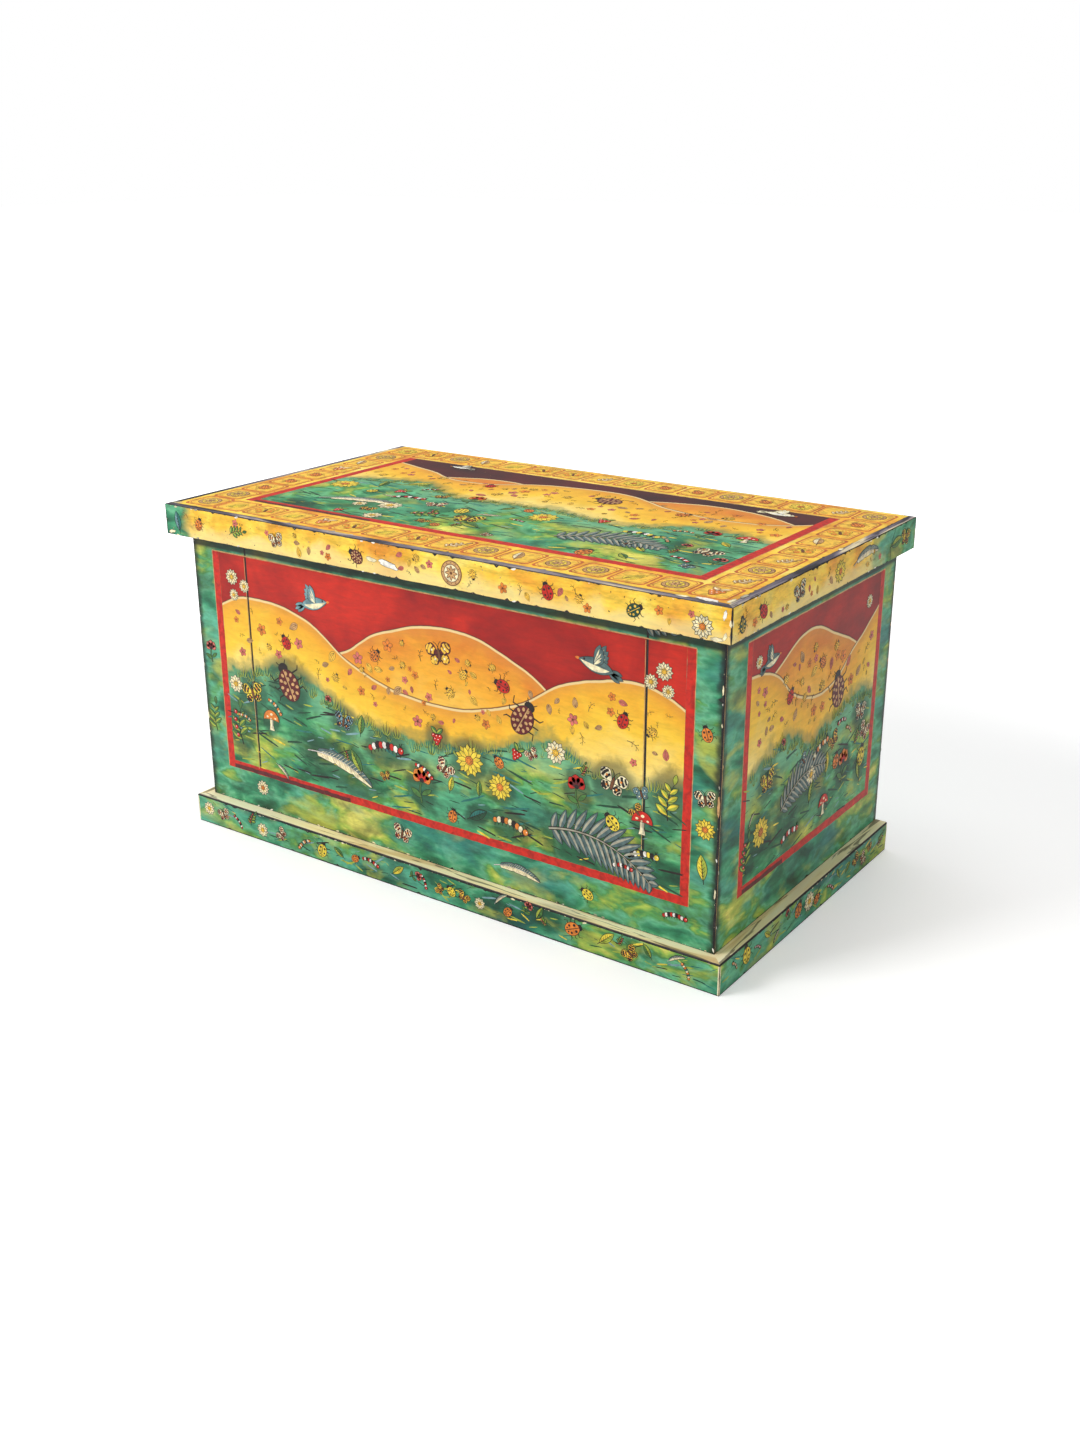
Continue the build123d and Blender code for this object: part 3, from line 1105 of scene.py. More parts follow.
@dataclass(frozen=True)
class Leaf:
    """A single leaf with its midrib and veins."""

    ink: Ink = Ink.LEAF
    light: Ink = Ink.LIME
    width: float = 0.40

    def draw(self, pen: Pen) -> None:
        """Draw it, with its foot at the pen and its tip one unit up.

        Args:
            pen: The pen.
        """
        pen.put(ribbon([(0, -0.16), (0, 0.02)], 0.03, 0.03), Ink.DARK, 2.0)
        pen.edged(blade(1.0, self.width, turn=90), self.ink)
        pen.put(blade(0.94, self.width * 0.86, y=0.02, turn=90, sides=(0.0, 1.0)), self.light, 4.0)
        pen.put(ribbon([(0, 0.0), (0, 0.93)], 0.035, 0.012), Ink.DARK, 5.0)
        for n in range(1, 6):
            foot = 0.14 * n
            for side in (-1, 1):
                tip = (side * self.width * 0.36 * sin(pi * (foot + 0.12)), foot + 0.13)
                pen.put(ribbon([(0, foot), tip], 0.018, 0.008), Ink.DARK, 5.0)


@dataclass(frozen=True)
class Sprig:
    """A curved stem with leaves on alternate sides and a few berries."""

    ink: Ink = Ink.LEAF
    light: Ink = Ink.LIME
    berry: Ink | None = None
    leaves: int = 7

    def draw(self, pen: Pen) -> None:
        """Draw it, with its foot at the pen and its tip one unit up.

        Args:
            pen: The pen.
        """
        stem = bow((0, 0), (0.08, 0.86), 0.09, 14)
        pen.put(ribbon(stem, 0.030, 0.012), Ink.DARK, 2.0)
        for n in range(self.leaves):
            share = 0.16 + 0.74 * n / self.leaves
            x, y = stem[min(13, round(14 * share))]
            side = 1 if n % 2 else -1
            length = 0.34 * (1.1 - 0.55 * share)
            turn = 90 - side * (62 - 22 * share)
            pen.edged(blade(length, length * 0.42, x, y, turn), self.ink)
            pen.put(blade(length * 0.9, length * 0.34, x, y, turn, sides=(0.0, 1.0)), self.light, 4.0)
            if self.berry and n % 2 == 0:
                bx, by = x + side * 0.10, y + 0.09
                pen.edged(ellipse(0.045, 0.045, bx, by, count=12), self.berry, 5.0)
                pen.put(ellipse(0.015, 0.012, bx - 0.012, by + 0.014, count=6), Ink.WHITE, 6.0)
        x, y = stem[-1]
        pen.edged(blade(0.24, 0.10, x, y, 84), self.ink)


@dataclass(frozen=True)
class Fern:
    """A long bent frond with paired leaflets."""

    ink: Ink = Ink.SLATE
    light: Ink = Ink.STONE
    pairs: int = 15
    bend: float = 0.14

    def draw(self, pen: Pen) -> None:
        """Draw it, with its foot at the pen and its tip one unit along.

        Args:
            pen: The pen.
        """
        steps = 2 * self.pairs
        stem = bow((0, 0), (1.0, 0.0), self.bend, steps)
        for n in range(self.pairs):
            share = (n + 1.0) / (self.pairs + 1)
            x, y = stem[2 * n + 1]
            ahead = stem[2 * n + 2]
            way = degrees(atan2(ahead[1] - y, ahead[0] - x))
            length = 0.26 * sin(pi * (0.12 + 0.84 * share)) + 0.02
            for side in (-1, 1):
                turn = way + side * (66 - 26 * share)
                pen.edged(blade(length, 0.060, x, y, turn, 0.8), self.ink)
                pen.put(blade(length * 0.88, 0.040, x, y, turn, 0.8, sides=(0.0, 1.0)), self.light, 4.0)
        pen.put(ribbon(stem, 0.032, 0.010), Ink.DARK, 5.0)
        pen.put(ribbon(stem, 0.016, 0.004), self.light, 6.0)


@dataclass(frozen=True)
class Daisy:
    """An open flower seen from the front."""

    petal: Ink = Ink.YELLOW
    heart: Ink = Ink.ORANGE
    petals: int = 11
    shade: Ink = Ink.GOLD

    def draw(self, pen: Pen) -> None:
        """Draw it round the pen, one unit across.

        Args:
            pen: The pen.
        """
        for ring, reach, tone in ((0, 0.50, 0.86), (1, 0.42, 1.0)):
            for n in range(self.petals):
                turn = 360 * (n + 0.5 * ring) / self.petals
                width = 0.9 * pi * reach / self.petals * 1.25
                layer = 2.0 + 1.6 * ring + 0.6 * (n % 2)
                pen.edged(blade(reach, width, turn=turn, belly=1.35), self.petal, layer, tone=tone)
                pen.put(blade(reach * 0.7, width * 0.3, turn=turn), self.shade, layer + 0.2)
        pen.edged(ellipse(0.13, 0.13, count=16), self.heart, 7.0)
        for n in range(8):
            turn = tau * n / 8
            pen.put(ellipse(0.018, 0.018, 0.08 * cos(turn), 0.08 * sin(turn), count=6), Ink.BROWN, 8.0)


@dataclass(frozen=True)
class Poppy:
    """A broad-petalled flower on a short stem."""

    petal: Ink = Ink.ORANGE
    shade: Ink = Ink.RED
    stem: Ink = Ink.LEAF

    def draw(self, pen: Pen) -> None:
        """Draw it, with its stem's foot at the pen, one unit high.

        Args:
            pen: The pen.
        """
        pen.edged(ribbon(bow((0, 0), (0.02, 0.62), 0.10), 0.040, 0.030), self.stem, 2.0)
        pen.edged(blade(0.40, 0.15, 0.0, 0.14, 150), self.stem, 3.0)
        pen.edged(blade(0.36, 0.13, 0.01, 0.22, 32), self.stem, 3.0)
        for turn, size in ((52, 0.36), (128, 0.36), (20, 0.30), (160, 0.30), (90, 0.38)):
            pen.edged(blade(size, size * 0.74, 0.02, 0.60, turn, 1.5), self.petal, 4.0)
            pen.put(blade(size * 0.6, size * 0.20, 0.02, 0.60, turn, 1.2), self.shade, 5.0)
        pen.edged(ellipse(0.06, 0.05, 0.02, 0.62, count=12), Ink.DARK, 6.0)


@dataclass(frozen=True)
class Moth:
    """A moth or butterfly with banded wings."""

    wing: Ink = Ink.CREAM
    band: Ink = Ink.DARK
    spot: Ink = Ink.ORANGE

    def draw(self, pen: Pen) -> None:
        """Draw it round the pen, one unit across.

        Args:
            pen: The pen.
        """
        for side in (-1, 1):
            for turn, length, width in ((32, 0.52, 0.36), (-38, 0.40, 0.30)):
                way = turn if side > 0 else 180 - turn
                pen.edged(blade(length, width, 0.0, 0.02, way, 1.6), self.wing, 3.0)
                c, s = cos(radians(way)), sin(radians(way))
                for share, thick in ((0.42, 0.075), (0.66, 0.085), (0.86, 0.06)):
                    reach = width * 0.40 * sin(pi * share**1.6)
                    x, y = c * length * share, 0.02 + s * length * share
                    band = bow((x + s * reach, y - c * reach), (x - s * reach, y + c * reach), 0.10 * side, 5)
                    pen.put(ribbon(band, thick, thick), self.band, 4.0)
                x, y = c * length * 0.54, 0.02 + s * length * 0.54
                pen.put(ellipse(0.035, 0.035, x, y, count=10), self.spot, 5.0)
            pen.put(ribbon(bow((0, 0.16), (side * 0.14, 0.40), 0.16 * side), 0.016, 0.012), Ink.DARK, 5.0)
        pen.edged(ellipse(0.045, 0.20, 0.0, 0.0, count=16), Ink.BROWN, 6.0)


@dataclass(frozen=True)
class Beetle:
    """A round beetle with spots."""

    shell: Ink = Ink.RED
    mark: Ink = Ink.DARK
    mottled: bool = False

    def draw(self, pen: Pen) -> None:
        """Draw it round the pen, one unit long.

        Args:
            pen: The pen.
        """
        for side in (-1, 1):
            for foot, out in ((0.22, 0.36), (0.0, 0.05), (-0.2, -0.32)):
                leg = [(side * 0.2, foot), (side * 0.44, foot + 0.04 * side), (side * 0.50, out)]
                pen.put(ribbon(leg, 0.045, 0.025), Ink.DARK, 2.0)
            pen.put(ribbon([(side * 0.05, 0.44), (side * 0.16, 0.58)], 0.03, 0.02), Ink.DARK, 2.0)
        pen.put(ellipse(0.16, 0.13, 0, 0.40, count=14), Ink.DARK, 3.0)
        pen.edged(ellipse(0.32, 0.40, 0, -0.04, count=24), self.shell, 4.0)
        pen.put(ribbon([(0, 0.36), (0, -0.43)], 0.03, 0.03), self.mark, 6.0)
        if self.mottled:
            for ring, count in ((0.13, 5), (0.25, 11)):
                for n in range(count):
                    turn = tau * (n + 0.5 * (ring > 0.2)) / count
                    x, y = ring * cos(turn), -0.04 + 1.2 * ring * sin(turn)
                    pen.put(ellipse(0.055, 0.042, x, y, degrees(turn), 7), self.mark, 5.0)
        else:
            for x, y, size in ((0.15, 0.14, 0.07), (0.18, -0.14, 0.06), (0.10, -0.30, 0.045)):
                for side in (-1, 1):
                    pen.put(ellipse(size, size, side * x, y, count=10), self.mark, 5.0)


@dataclass(frozen=True)
class Bird:
    """A small bird in flight."""

    back: Ink = Ink.SKY
    breast: Ink = Ink.CREAM

    def draw(self, pen: Pen) -> None:
        """Draw it round the pen, one unit long, flying to the right.

        Args:
            pen: The pen.
        """
        for way, length in ((196, 0.40), (208, 0.36), (184, 0.36)):
            pen.edged(blade(length, 0.09, -0.16, 0.0, way, 1.6), self.back, 2.5)
        body = blade(0.74, 0.27, -0.34, -0.02, 5, 0.92, count=12)
        pen.edged(body, self.back, 3.5)
        pen.put(blade(0.62, 0.22, -0.26, -0.015, 5, 0.95, (1.0, 0.0)), self.breast, 4.5)
        pen.put(blade(0.10, 0.05, 0.37, 0.045, 2), Ink.ORANGE, 3.4)
        pen.put(ellipse(0.022, 0.022, 0.28, 0.07, count=8), Ink.DARK, 5.5)
        for turn, length, layer in ((118, 0.46, 2.2), (104, 0.40, 4.7)):
            for n in range(4):
                way = turn + 13 * n
                pen.edged(blade(length - 0.05 * n, 0.12, 0.08, 0.02, way, 1.4), self.back, layer + 0.2 * n)
                pen.put(blade(0.8 * length - 0.05 * n, 0.035, 0.07, 0.02, way), self.breast, layer + 0.3 + 0.2 * n)


@dataclass(frozen=True)
class Caterpillar:
    """A banded caterpillar."""

    inks: tuple[Ink, Ink, Ink] = (Ink.RED, Ink.WHITE, Ink.DARK)
    rings: int = 9

    def draw(self, pen: Pen) -> None:
        """Draw it round the pen, one unit long.

        Args:
            pen: The pen.
        """
        path = bow((-0.46, 0.0), (0.42, 0.0), 0.12, self.rings - 1)
        for n, (x, y) in enumerate(path):
            pen.put(ribbon([(x, y - 0.06), (x + 0.01, y - 0.16)], 0.03, 0.015), Ink.DARK, 2.0)
            grow = 0.085 if 0 < n < self.rings - 1 else 0.068
            pen.edged(ellipse(0.062, grow, x, y, count=14), self.inks[n % 3], 3.0 + 0.3 * n)
        x, y = path[-1]
        pen.edged(ellipse(0.075, 0.08, x + 0.04, y + 0.015, count=16), self.inks[0], 6.0)
        pen.put(ellipse(0.016, 0.018, x + 0.07, y + 0.03, count=8), Ink.WHITE, 7.0)
        for lean in (0.02, 0.09):
            pen.put(ribbon([(x + 0.04, y + 0.08), (x + lean, y + 0.19)], 0.018, 0.012), Ink.DARK, 5.0)


@dataclass(frozen=True)
class Mushroom:
    """A spotted mushroom."""

    cap: Ink = Ink.RED
    spot: Ink = Ink.CREAM

    def draw(self, pen: Pen) -> None:
        """Draw it, with its foot at the pen, one unit high.

        Args:
            pen: The pen.
        """
        stalk = [(-0.14, 0.0), (0.14, 0.0), (0.08, 0.24), (0.09, 0.52), (-0.09, 0.52), (-0.08, 0.24)]
        pen.edged(stalk, Ink.CREAM, 3.0)
        pen.put(ribbon([(0.06, 0.05), (0.04, 0.5)], 0.05, 0.05), Ink.STONE, 4.0)
        dome = [(0.44 * cos(pi * n / 14), 0.46 + 0.46 * sin(pi * n / 14)) for n in range(15)]
        pen.edged(dome + bow((-0.44, 0.46), (0.44, 0.46), 0.06)[1:-1], self.cap, 5.0)
        for x, y, size in ((-0.22, 0.60, 0.06), (0.02, 0.74, 0.075), (0.24, 0.58, 0.055), (-0.02, 0.54, 0.04)):
            pen.put(ellipse(size, size * 0.8, x, y, count=10), self.spot, 6.0)


@dataclass(frozen=True)
class Feather:
    """A long curved feather, dark on one vane and pale on the other."""

    dark: Ink = Ink.SLATE
    pale: Ink = Ink.CREAM

    def draw(self, pen: Pen) -> None:
        """Draw it, with its quill at the pen and its tip one unit along.

        Args:
            pen: The pen.
        """
        spine = bow((0, 0), (1.0, 0.0), 0.10, 22)
        for side, ink, barb_ink in ((1, self.dark, self.pale), (-1, self.pale, Ink.TAN)):
            vane = []
            for n, (x, y) in enumerate(spine[3:]):
                reach = 0.085 * sin(pi * (0.12 + 0.88 * n / 19)) ** 0.6 * (0.8 if n in (6, 12) else 1.0)
                vane.append((x + 0.02, y + side * reach))
            vane[-1] = spine[-1]
            pen.edged(spine[3:] + vane[-2::-1], ink, 3.0)
            for n in range(4, 20):
                x, y = spine[n]
                reach = side * 0.072 * sin(pi * (0.12 + 0.88 * (n - 3) / 19))
                pen.put(ribbon([(x, y), (x + 0.055, y + reach)], 0.006, 0.003), barb_ink, 4.0)
        pen.put(ribbon(spine, 0.022, 0.006), Ink.DARK, 5.0)
        pen.put(ribbon(spine[:18], 0.010, 0.004), Ink.WHITE, 6.0)


@dataclass(frozen=True)
class Berries:
    """A cluster of berries under two leaves."""

    ink: Ink = Ink.MAROON
    count: int = 6

    def draw(self, pen: Pen) -> None:
        """Draw it round the pen, one unit across.

        Args:
            pen: The pen.
        """
        for turn in (40, 140):
            pen.edged(blade(0.46, 0.22, 0.0, 0.16, turn), Ink.LEAF, 3.0)
            pen.put(blade(0.40, 0.16, 0.0, 0.16, turn, sides=(0.0, 1.0)), Ink.LIME, 4.0)
        spots = ((0, 0), (0.2, 0.02), (-0.2, 0.03), (0.1, -0.17), (-0.1, -0.16), (0, -0.33), (0.1, 0.16))
        for x, y in spots[: self.count]:
            pen.put(ribbon([(0, 0.18), (x, y)], 0.02, 0.02), Ink.DARK, 3.5)
            pen.edged(ellipse(0.11, 0.11, x, y, count=14), self.ink, 5.0)
            pen.put(ellipse(0.03, 0.025, x - 0.03, y + 0.04, count=7), Ink.WHITE, 6.0)


@dataclass(frozen=True)
class Seed:
    """A faint drawn seed, in line and a little tone."""

    ink: Ink = Ink.TAN
    line: Ink = Ink.BROWN

    def draw(self, pen: Pen) -> None:
        """Draw it round the pen, one unit long.

        Args:
            pen: The pen.
        """
        pen.edged(blade(1.0, 0.56, 0, -0.5, 90, 0.8), self.ink, 2.0, self.line)
        pen.put(ribbon([(0, -0.4), (0, 0.36)], 0.05, 0.02), self.line, 3.0)
        for side in (-1, 1):
            pen.put(ribbon(bow((0, -0.4), (0, 0.4), 0.20 * side), 0.035, 0.02), self.line, 3.0)


@dataclass(frozen=True)
class Floret:
    """A tiny drawn flower of five open petals."""

    ink: Ink = Ink.ROSE
    line: Ink = Ink.BROWN

    def draw(self, pen: Pen) -> None:
        """Draw it round the pen, one unit across.

        Args:
            pen: The pen.
        """
        for n in range(5):
            pen.edged(blade(0.5, 0.30, turn=72 * n + 18, belly=1.4), self.ink, 2.0, self.line)
        pen.put(ellipse(0.10, 0.10, count=8), self.line, 3.0)


@dataclass(frozen=True)
class Twig:
    """A tiny bare twig in line."""

    line: Ink = Ink.BROWN

    def draw(self, pen: Pen) -> None:
        """Draw it round the pen, one unit long.

        Args:
            pen: The pen.
        """
        stem = bow((-0.5, -0.1), (0.5, 0.1), 0.14, 8)
        pen.put(ribbon(stem, 0.05, 0.02), self.line, 2.0)
        for n, side in ((2, 1), (3, -1), (5, 1), (6, -1)):
            x, y = stem[n]
            pen.put(ribbon([(x, y), (x + 0.13, y + side * 0.18)], 0.035, 0.015), self.line, 2.0)
            pen.put(ellipse(0.035, 0.035, x + 0.14, y + side * 0.20, count=7), self.line, 2.0)


@dataclass(frozen=True)
class Rosette:
    """A round medallion of rings and petals, drawn in line."""

    ink: Ink = Ink.TAN
    line: Ink = Ink.BROWN

    def draw(self, pen: Pen) -> None:
        """Draw it round the pen, one unit across.

        Args:
            pen: The pen.
        """
        rings = ((0.5, self.line, 2.0), (0.46, self.ink, 3.0), (0.36, self.line, 4.0), (0.33, Ink.CREAM, 5.0))
        for radius, ink, layer in rings:
            pen.put(ellipse(radius, radius, count=28), ink, layer)
        for n in range(12):
            c, s = cos(tau * n / 12), sin(tau * n / 12)
            pen.put(ellipse(0.022, 0.022, 0.41 * c, 0.41 * s, count=7), self.line, 4.0)
        for n in range(8):
            pen.put(blade(0.31, 0.13, turn=45 * n), self.line, 6.0)
            pen.put(blade(0.27, 0.08, turn=45 * n), self.ink, 7.0)
        pen.put(ellipse(0.06, 0.06, count=12), self.line, 8.0)


@dataclass(frozen=True)
class Tuft:
    """A tuft of grass."""

    ink: Ink = Ink.DEEP_LEAF
    blades: int = 7

    def draw(self, pen: Pen) -> None:
        """Draw it, with its foot at the pen, about one unit high.

        Args:
            pen: The pen.
        """
        for n in range(self.blades):
            lean = (n - (self.blades - 1) / 2) / self.blades
            tall = 1.0 - 1.1 * abs(lean)
            path = bow((0.25 * lean, 0), (0.9 * lean, tall), -0.3 * lean, 6)
            pen.put(ribbon(path, 0.055, 0.010), self.ink if n % 2 else Ink.LIME, 2.0 + 0.1 * n)


@dataclass(frozen=True)
class Spot:
    """A motif's place on a face: millimetres along and up, size in millimetres and turn in degrees."""

    motif: Motif
    u: float
    v: float
    size: float
    turn: float = 0.0
    flip: bool = False

    def reach(self) -> tuple[float, float, float, Point]:
        """The oval that the motif fills: half its length and width, its turn and its middle."""
        size, turn = self.size * MILLIMETRE, radians(self.turn)
        long = isinstance(self.motif, (Fern, Feather))
        tall = isinstance(self.motif, (Poppy, Sprig, Leaf, Mushroom))
        if tall:
            turn += pi / 2
        out = 0.5 * size if long or tall else 0.0
        middle = (self.u * MILLIMETRE + out * cos(turn), self.v * MILLIMETRE + out * sin(turn))
        narrow, half, full, along = 0.24, 0.42, 0.62, 0.60
        wide = narrow if long else half if tall or isinstance(self.motif, Caterpillar) else full
        return along * size, wide * size, turn, middle

    def draw(self, art: Artwork) -> None:
        """Draw it on an artwork."""
        u, v, size = (value * MILLIMETRE for value in (self.u, self.v, self.size))
        self.motif.draw(Pen(art, u, v, size, self.turn, self.flip))


def blob(stretch: float, rng: random.Random, count: int = 11) -> Outline:
    """An uneven rounded outline about one unit across.

    Args:
        stretch: Its length over its width.
        rng: The source of chance.
        count: Its points.

    Returns:
        The outline.
    """
    reaches = [rng.uniform(0.30, 0.5) for _ in range(count)]
    turns = [tau * n / count for n in range(count)]
    return [
        (stretch**0.5 * reach * cos(turn), reach / stretch**0.5 * sin(turn))
        for reach, turn in zip(reaches, turns)
    ]


@dataclass(frozen=True)
class Flake:
    """A place where the print has chipped away."""

    ink: Ink = Ink.CREAM
    edge: Ink = Ink.DARK
    stretch: float = 2.0
    seed: int = 1

    def draw(self, pen: Pen) -> None:
        """Draw it round the pen, one unit across."""
        outline = blob(self.stretch, random.Random(self.seed), 17)
        pen.edged(outline, self.ink, 3.0, self.edge)


@dataclass(frozen=True)
class Dab:
    """A bare dab of paint with no line round it."""

    ink: Ink
    stretch: float = 1.0
    seed: int = 1

    def draw(self, pen: Pen) -> None:
        """Draw it round the pen, one unit across."""
        pen.put(blob(self.stretch, random.Random(self.seed)), self.ink, 1.0)


@dataclass(frozen=True)
class Tile:
    """A square ornament: a drawn frame with a motif in it."""

    motif: Motif
    size: float = 0.56
    turn: float = 0.0
    foot: float = 0.0
    ground: Ink = Ink.GOLD
    line: Ink = Ink.RUST

    def draw(self, pen: Pen) -> None:
        """Draw it round the pen, one unit across.

        Args:
            pen: The pen.
        """
        corner = 0.08
        for reach, ink, layer in (
            (0.495, self.line, 1.0), (0.437, self.ground, 1.5), (0.400, self.line, 2.0), (0.384, self.ground, 2.5)
        ):
            square = [
                (reach * a - corner * b, reach * c - corner * d)
                for a, b, c, d in (
                    (1, 0, -1, -1), (1, 0, 1, 1), (1, 1, 1, 0), (-1, -1, 1, 0),
                    (-1, 0, 1, 1), (-1, 0, -1, -1), (-1, -1, -1, 0), (1, 1, -1, 0),
                )
            ]
            pen.put(square, ink, layer)
        inner = Raised(pen.art, pen.u, pen.v + self.foot * pen.size, self.size * pen.size, self.turn)
        self.motif.draw(inner)


class Raised(Pen):
    """A pen that draws on top of a tile, in the tile's faint line inks."""

    def put(self, outline: Outline, ink: Ink, layer: float = 3.0, tone: float = 1.0) -> None:
        """Cut a shape out above the tile."""
        super().put(outline, FAINT.get(ink, ink), layer + 2.0, tone)


FAINT = {
    Ink.DARK: Ink.BROWN, Ink.LEAF: Ink.TAN, Ink.LIME: Ink.CREAM, Ink.RED: Ink.ORANGE, Ink.SLATE: Ink.STONE,
    Ink.MAROON: Ink.BROWN, Ink.CREAM: Ink.YELLOW,
}


class Placing(Enum):
    """How copies are set out on their guide."""

    POINTS = "points"
    LINE = "line"
    AREA = "area"


@dataclass(frozen=True)
class Growth:
    """A Geometry Nodes tree that sets copies of small shapes out on a flat guide.

    The guide and the shapes are drawn flat, in a face's own two axes, and the tree lays the result on
    the face. Amount is the spacing along a line, or the copies for each square metre of an area. A
    rarity above 1 makes the larger copies rarer.
    """

    placing: Placing
    smallest: float
    largest: float
    amount: float = 0.0
    spin: float = tau
    jitter: tuple[float, float] = (0.0, 0.0)
    rarity: float = 1.0
    seed: int = 0
    turn: float = 0.0

    def grow(self, name: str, face: Face, outline: Outline, shapes: Sequence[Thing], material: Finish) -> Thing:
        """Run the tree on a flat guide and keep its result as a plain mesh.

        Args:
            name: The piece's name.
            face: The face that the result lies on.
            outline: The guide's points, which stay loose, make a line or bound an area.
            shapes: The shapes to copy.
            material: The result's finish.

        Returns:
            The new piece.
        """
        tree = self.tree(name, face, shapes, material)
        count = len(outline)
        edges = [(n, n + 1) for n in range(count - 1)] if self.placing is Placing.LINE else []
        filled = [list(range(count))] if self.placing is Placing.AREA else []
        flat = bpy.data.meshes.new(f"{name}_guide")
        flat.from_pydata([(u, v, 0.0) for u, v in outline], edges, filled)
        guide = stand(flat.name, flat)
        modifier = guide.modifiers.new(name, "NODES")
        modifier.node_group = tree
        values = {
            "Amount": self.amount, "Smallest": self.smallest, "Largest": self.largest, "Spin": self.spin,
            "Along": self.jitter[0], "Across": self.jitter[1], "Rarity": self.rarity, "Seed": self.seed,
            "Turn": self.turn,
        }
        for item in tree.interface.items_tree:
            if item.item_type == "SOCKET" and item.name in values:
                modifier[item.identifier] = values[item.name]
        bpy.context.view_layer.update()
        solved = guide.evaluated_get(bpy.context.evaluated_depsgraph_get())
        mesh = bpy.data.meshes.new_from_object(solved)
        guide.modifiers.clear()
        bpy.data.objects.remove(guide)
        bpy.data.node_groups.remove(tree)
        log.info("grew %s", name)
        return stand(name, mesh)

    def tree(
        self, name: str, face: Face, shapes: Sequence[Thing], material: Finish
    ) -> bpy.types.GeometryNodeTree:
        """Build the tree.

        Args:
            name: The piece's name.
            face: The face that the result lies on.
            shapes: The shapes to copy.
            material: The result's finish.

        Returns:
            The tree.
        """
        tree = bpy.data.node_groups.new(name, "GeometryNodeTree")
        sockets = tree.interface
        sockets.new_socket("Guide", in_out="INPUT", socket_type="NodeSocketGeometry")
        for label in ("Amount", "Smallest", "Largest", "Spin", "Along", "Across", "Rarity", "Turn"):
            sockets.new_socket(label, in_out="INPUT", socket_type="NodeSocketFloat")
        sockets.new_socket("Seed", in_out="INPUT", socket_type="NodeSocketInt")
        sockets.new_socket("Copies", in_out="OUTPUT", socket_type="NodeSocketGeometry")

        add = partial(add_node, tree)
        given = add("NodeGroupInput").outputs
        draws = iter(range(1, 9))

        def number(low: object, high: object) -> Socket:
            """A number by chance for each copy."""
            seed = add("ShaderNodeMath", {0: given["Seed"], 1: float(next(draws))}, operation="ADD").outputs[0]
            return add("FunctionNodeRandomValue", {2: low, 3: high, "Seed": seed}, data_type="FLOAT").outputs[1]

        def maths(operation: str, *terms: object) -> Socket:
            """Work out a number."""
            return add("ShaderNodeMath", dict(enumerate(terms)), operation=operation).outputs[0]

        if self.placing is Placing.AREA:
            inputs = {"Mesh": given["Guide"], "Density": given["Amount"], "Seed": given["Seed"]}
            points = add("GeometryNodeDistributePointsOnFaces", inputs).outputs[0]
        elif self.placing is Placing.LINE:
            line = add("GeometryNodeMeshToCurve", {"Mesh": given["Guide"]}).outputs[0]
            steps = add("GeometryNodeResampleCurve", {"Curve": line, "Length": given["Amount"]}, mode="LENGTH")
            points = add("GeometryNodeCurveToPoints", {"Curve": steps.outputs[0]}, mode="EVALUATED").outputs[0]
        else:
            points = add("GeometryNodeMeshToPoints", {"Mesh": given["Guide"]}).outputs[0]
        along = maths("MULTIPLY", given["Along"], number(-1.0, 1.0))
        across = maths("MULTIPLY", given["Across"], number(-1.0, 1.0))
        offset = add("ShaderNodeCombineXYZ", {"X": along, "Y": across}).outputs[0]
        points = add("GeometryNodeSetPosition", {"Geometry": points, "Offset": offset}).outputs[0]

        stock = add("GeometryNodeJoinGeometry")
        for shape in shapes:
            info = add("GeometryNodeObjectInfo", {"Object": shape, "As Instance": True})
            tree.links.new(info.outputs["Geometry"], stock.inputs[0])
        pick = add("FunctionNodeRandomValue", {4: 0, 5: len(shapes) - 1, "Seed": given["Seed"]}, data_type="INT")
        half = maths("MULTIPLY", given["Spin"], 0.5)
        turned = maths("ADD", number(maths("MULTIPLY", half, -1.0), half), given["Turn"])
        spin = add("ShaderNodeCombineXYZ", {"Z": turned}).outputs[0]
        spread = maths("SUBTRACT", given["Largest"], given["Smallest"])
        chance = maths("POWER", number(0.0, 1.0), given["Rarity"])
        size = maths("MULTIPLY_ADD", spread, chance, given["Smallest"])
        copies = add(
            "GeometryNodeInstanceOnPoints",
            {
                "Points": points, "Instance": stock.outputs[0], "Pick Instance": True,
                "Instance Index": pick.outputs[2], "Rotation": spin, "Scale": size,
            },
        )
        real = add("GeometryNodeRealizeInstances", {"Geometry": copies.outputs[0]})
        turn = Matrix((face.right, face.up, face.normal)).transposed().to_euler()
        where = {"Geometry": real.outputs[0], "Translation": face.at(0.0, 0.0, SHEET), "Rotation": tuple(turn)}
        laid = add("GeometryNodeTransform", where)
        dressed = add("GeometryNodeSetMaterial", {"Geometry": laid.outputs[0], "Material": material})
        add("NodeGroupOutput", {"Copies": dressed.outputs[0]})
        return tree


FLAT = Face(Vector((0, 0, 0)), RIGHTWARD, BACKWARD)


class Stock:
    """Small flat shapes, one unit across, that the growths copy."""

    def __init__(self, material: Finish) -> None:
        """Start with no shapes."""
        self.material = material
        self.made: list[Thing] = []

    def shapes(self, motifs: Iterable[Motif], size: float) -> list[Thing]:
        """Make shapes to copy.

        Args:
            motifs: What is drawn on them.
            size: The size that they are used at.

        Returns:
            The shapes.
        """
        made = []
        for motif in motifs:
            art = Artwork(f"stock_{len(self.made)}", FLAT, 0.0)
            motif.draw(Pen(art, 0.0, 0.0, size))
            art.places = [Vector((place.x / size, place.y / size, place.z / size)) for place in art.places]
            made.append(art.piece(self.material))
            self.made.append(made[-1])
        return made

    def clear(self) -> None:
        """Take the shapes away once nothing copies them."""
        for piece in self.made:
            bpy.data.objects.remove(piece)
        self.made.clear()


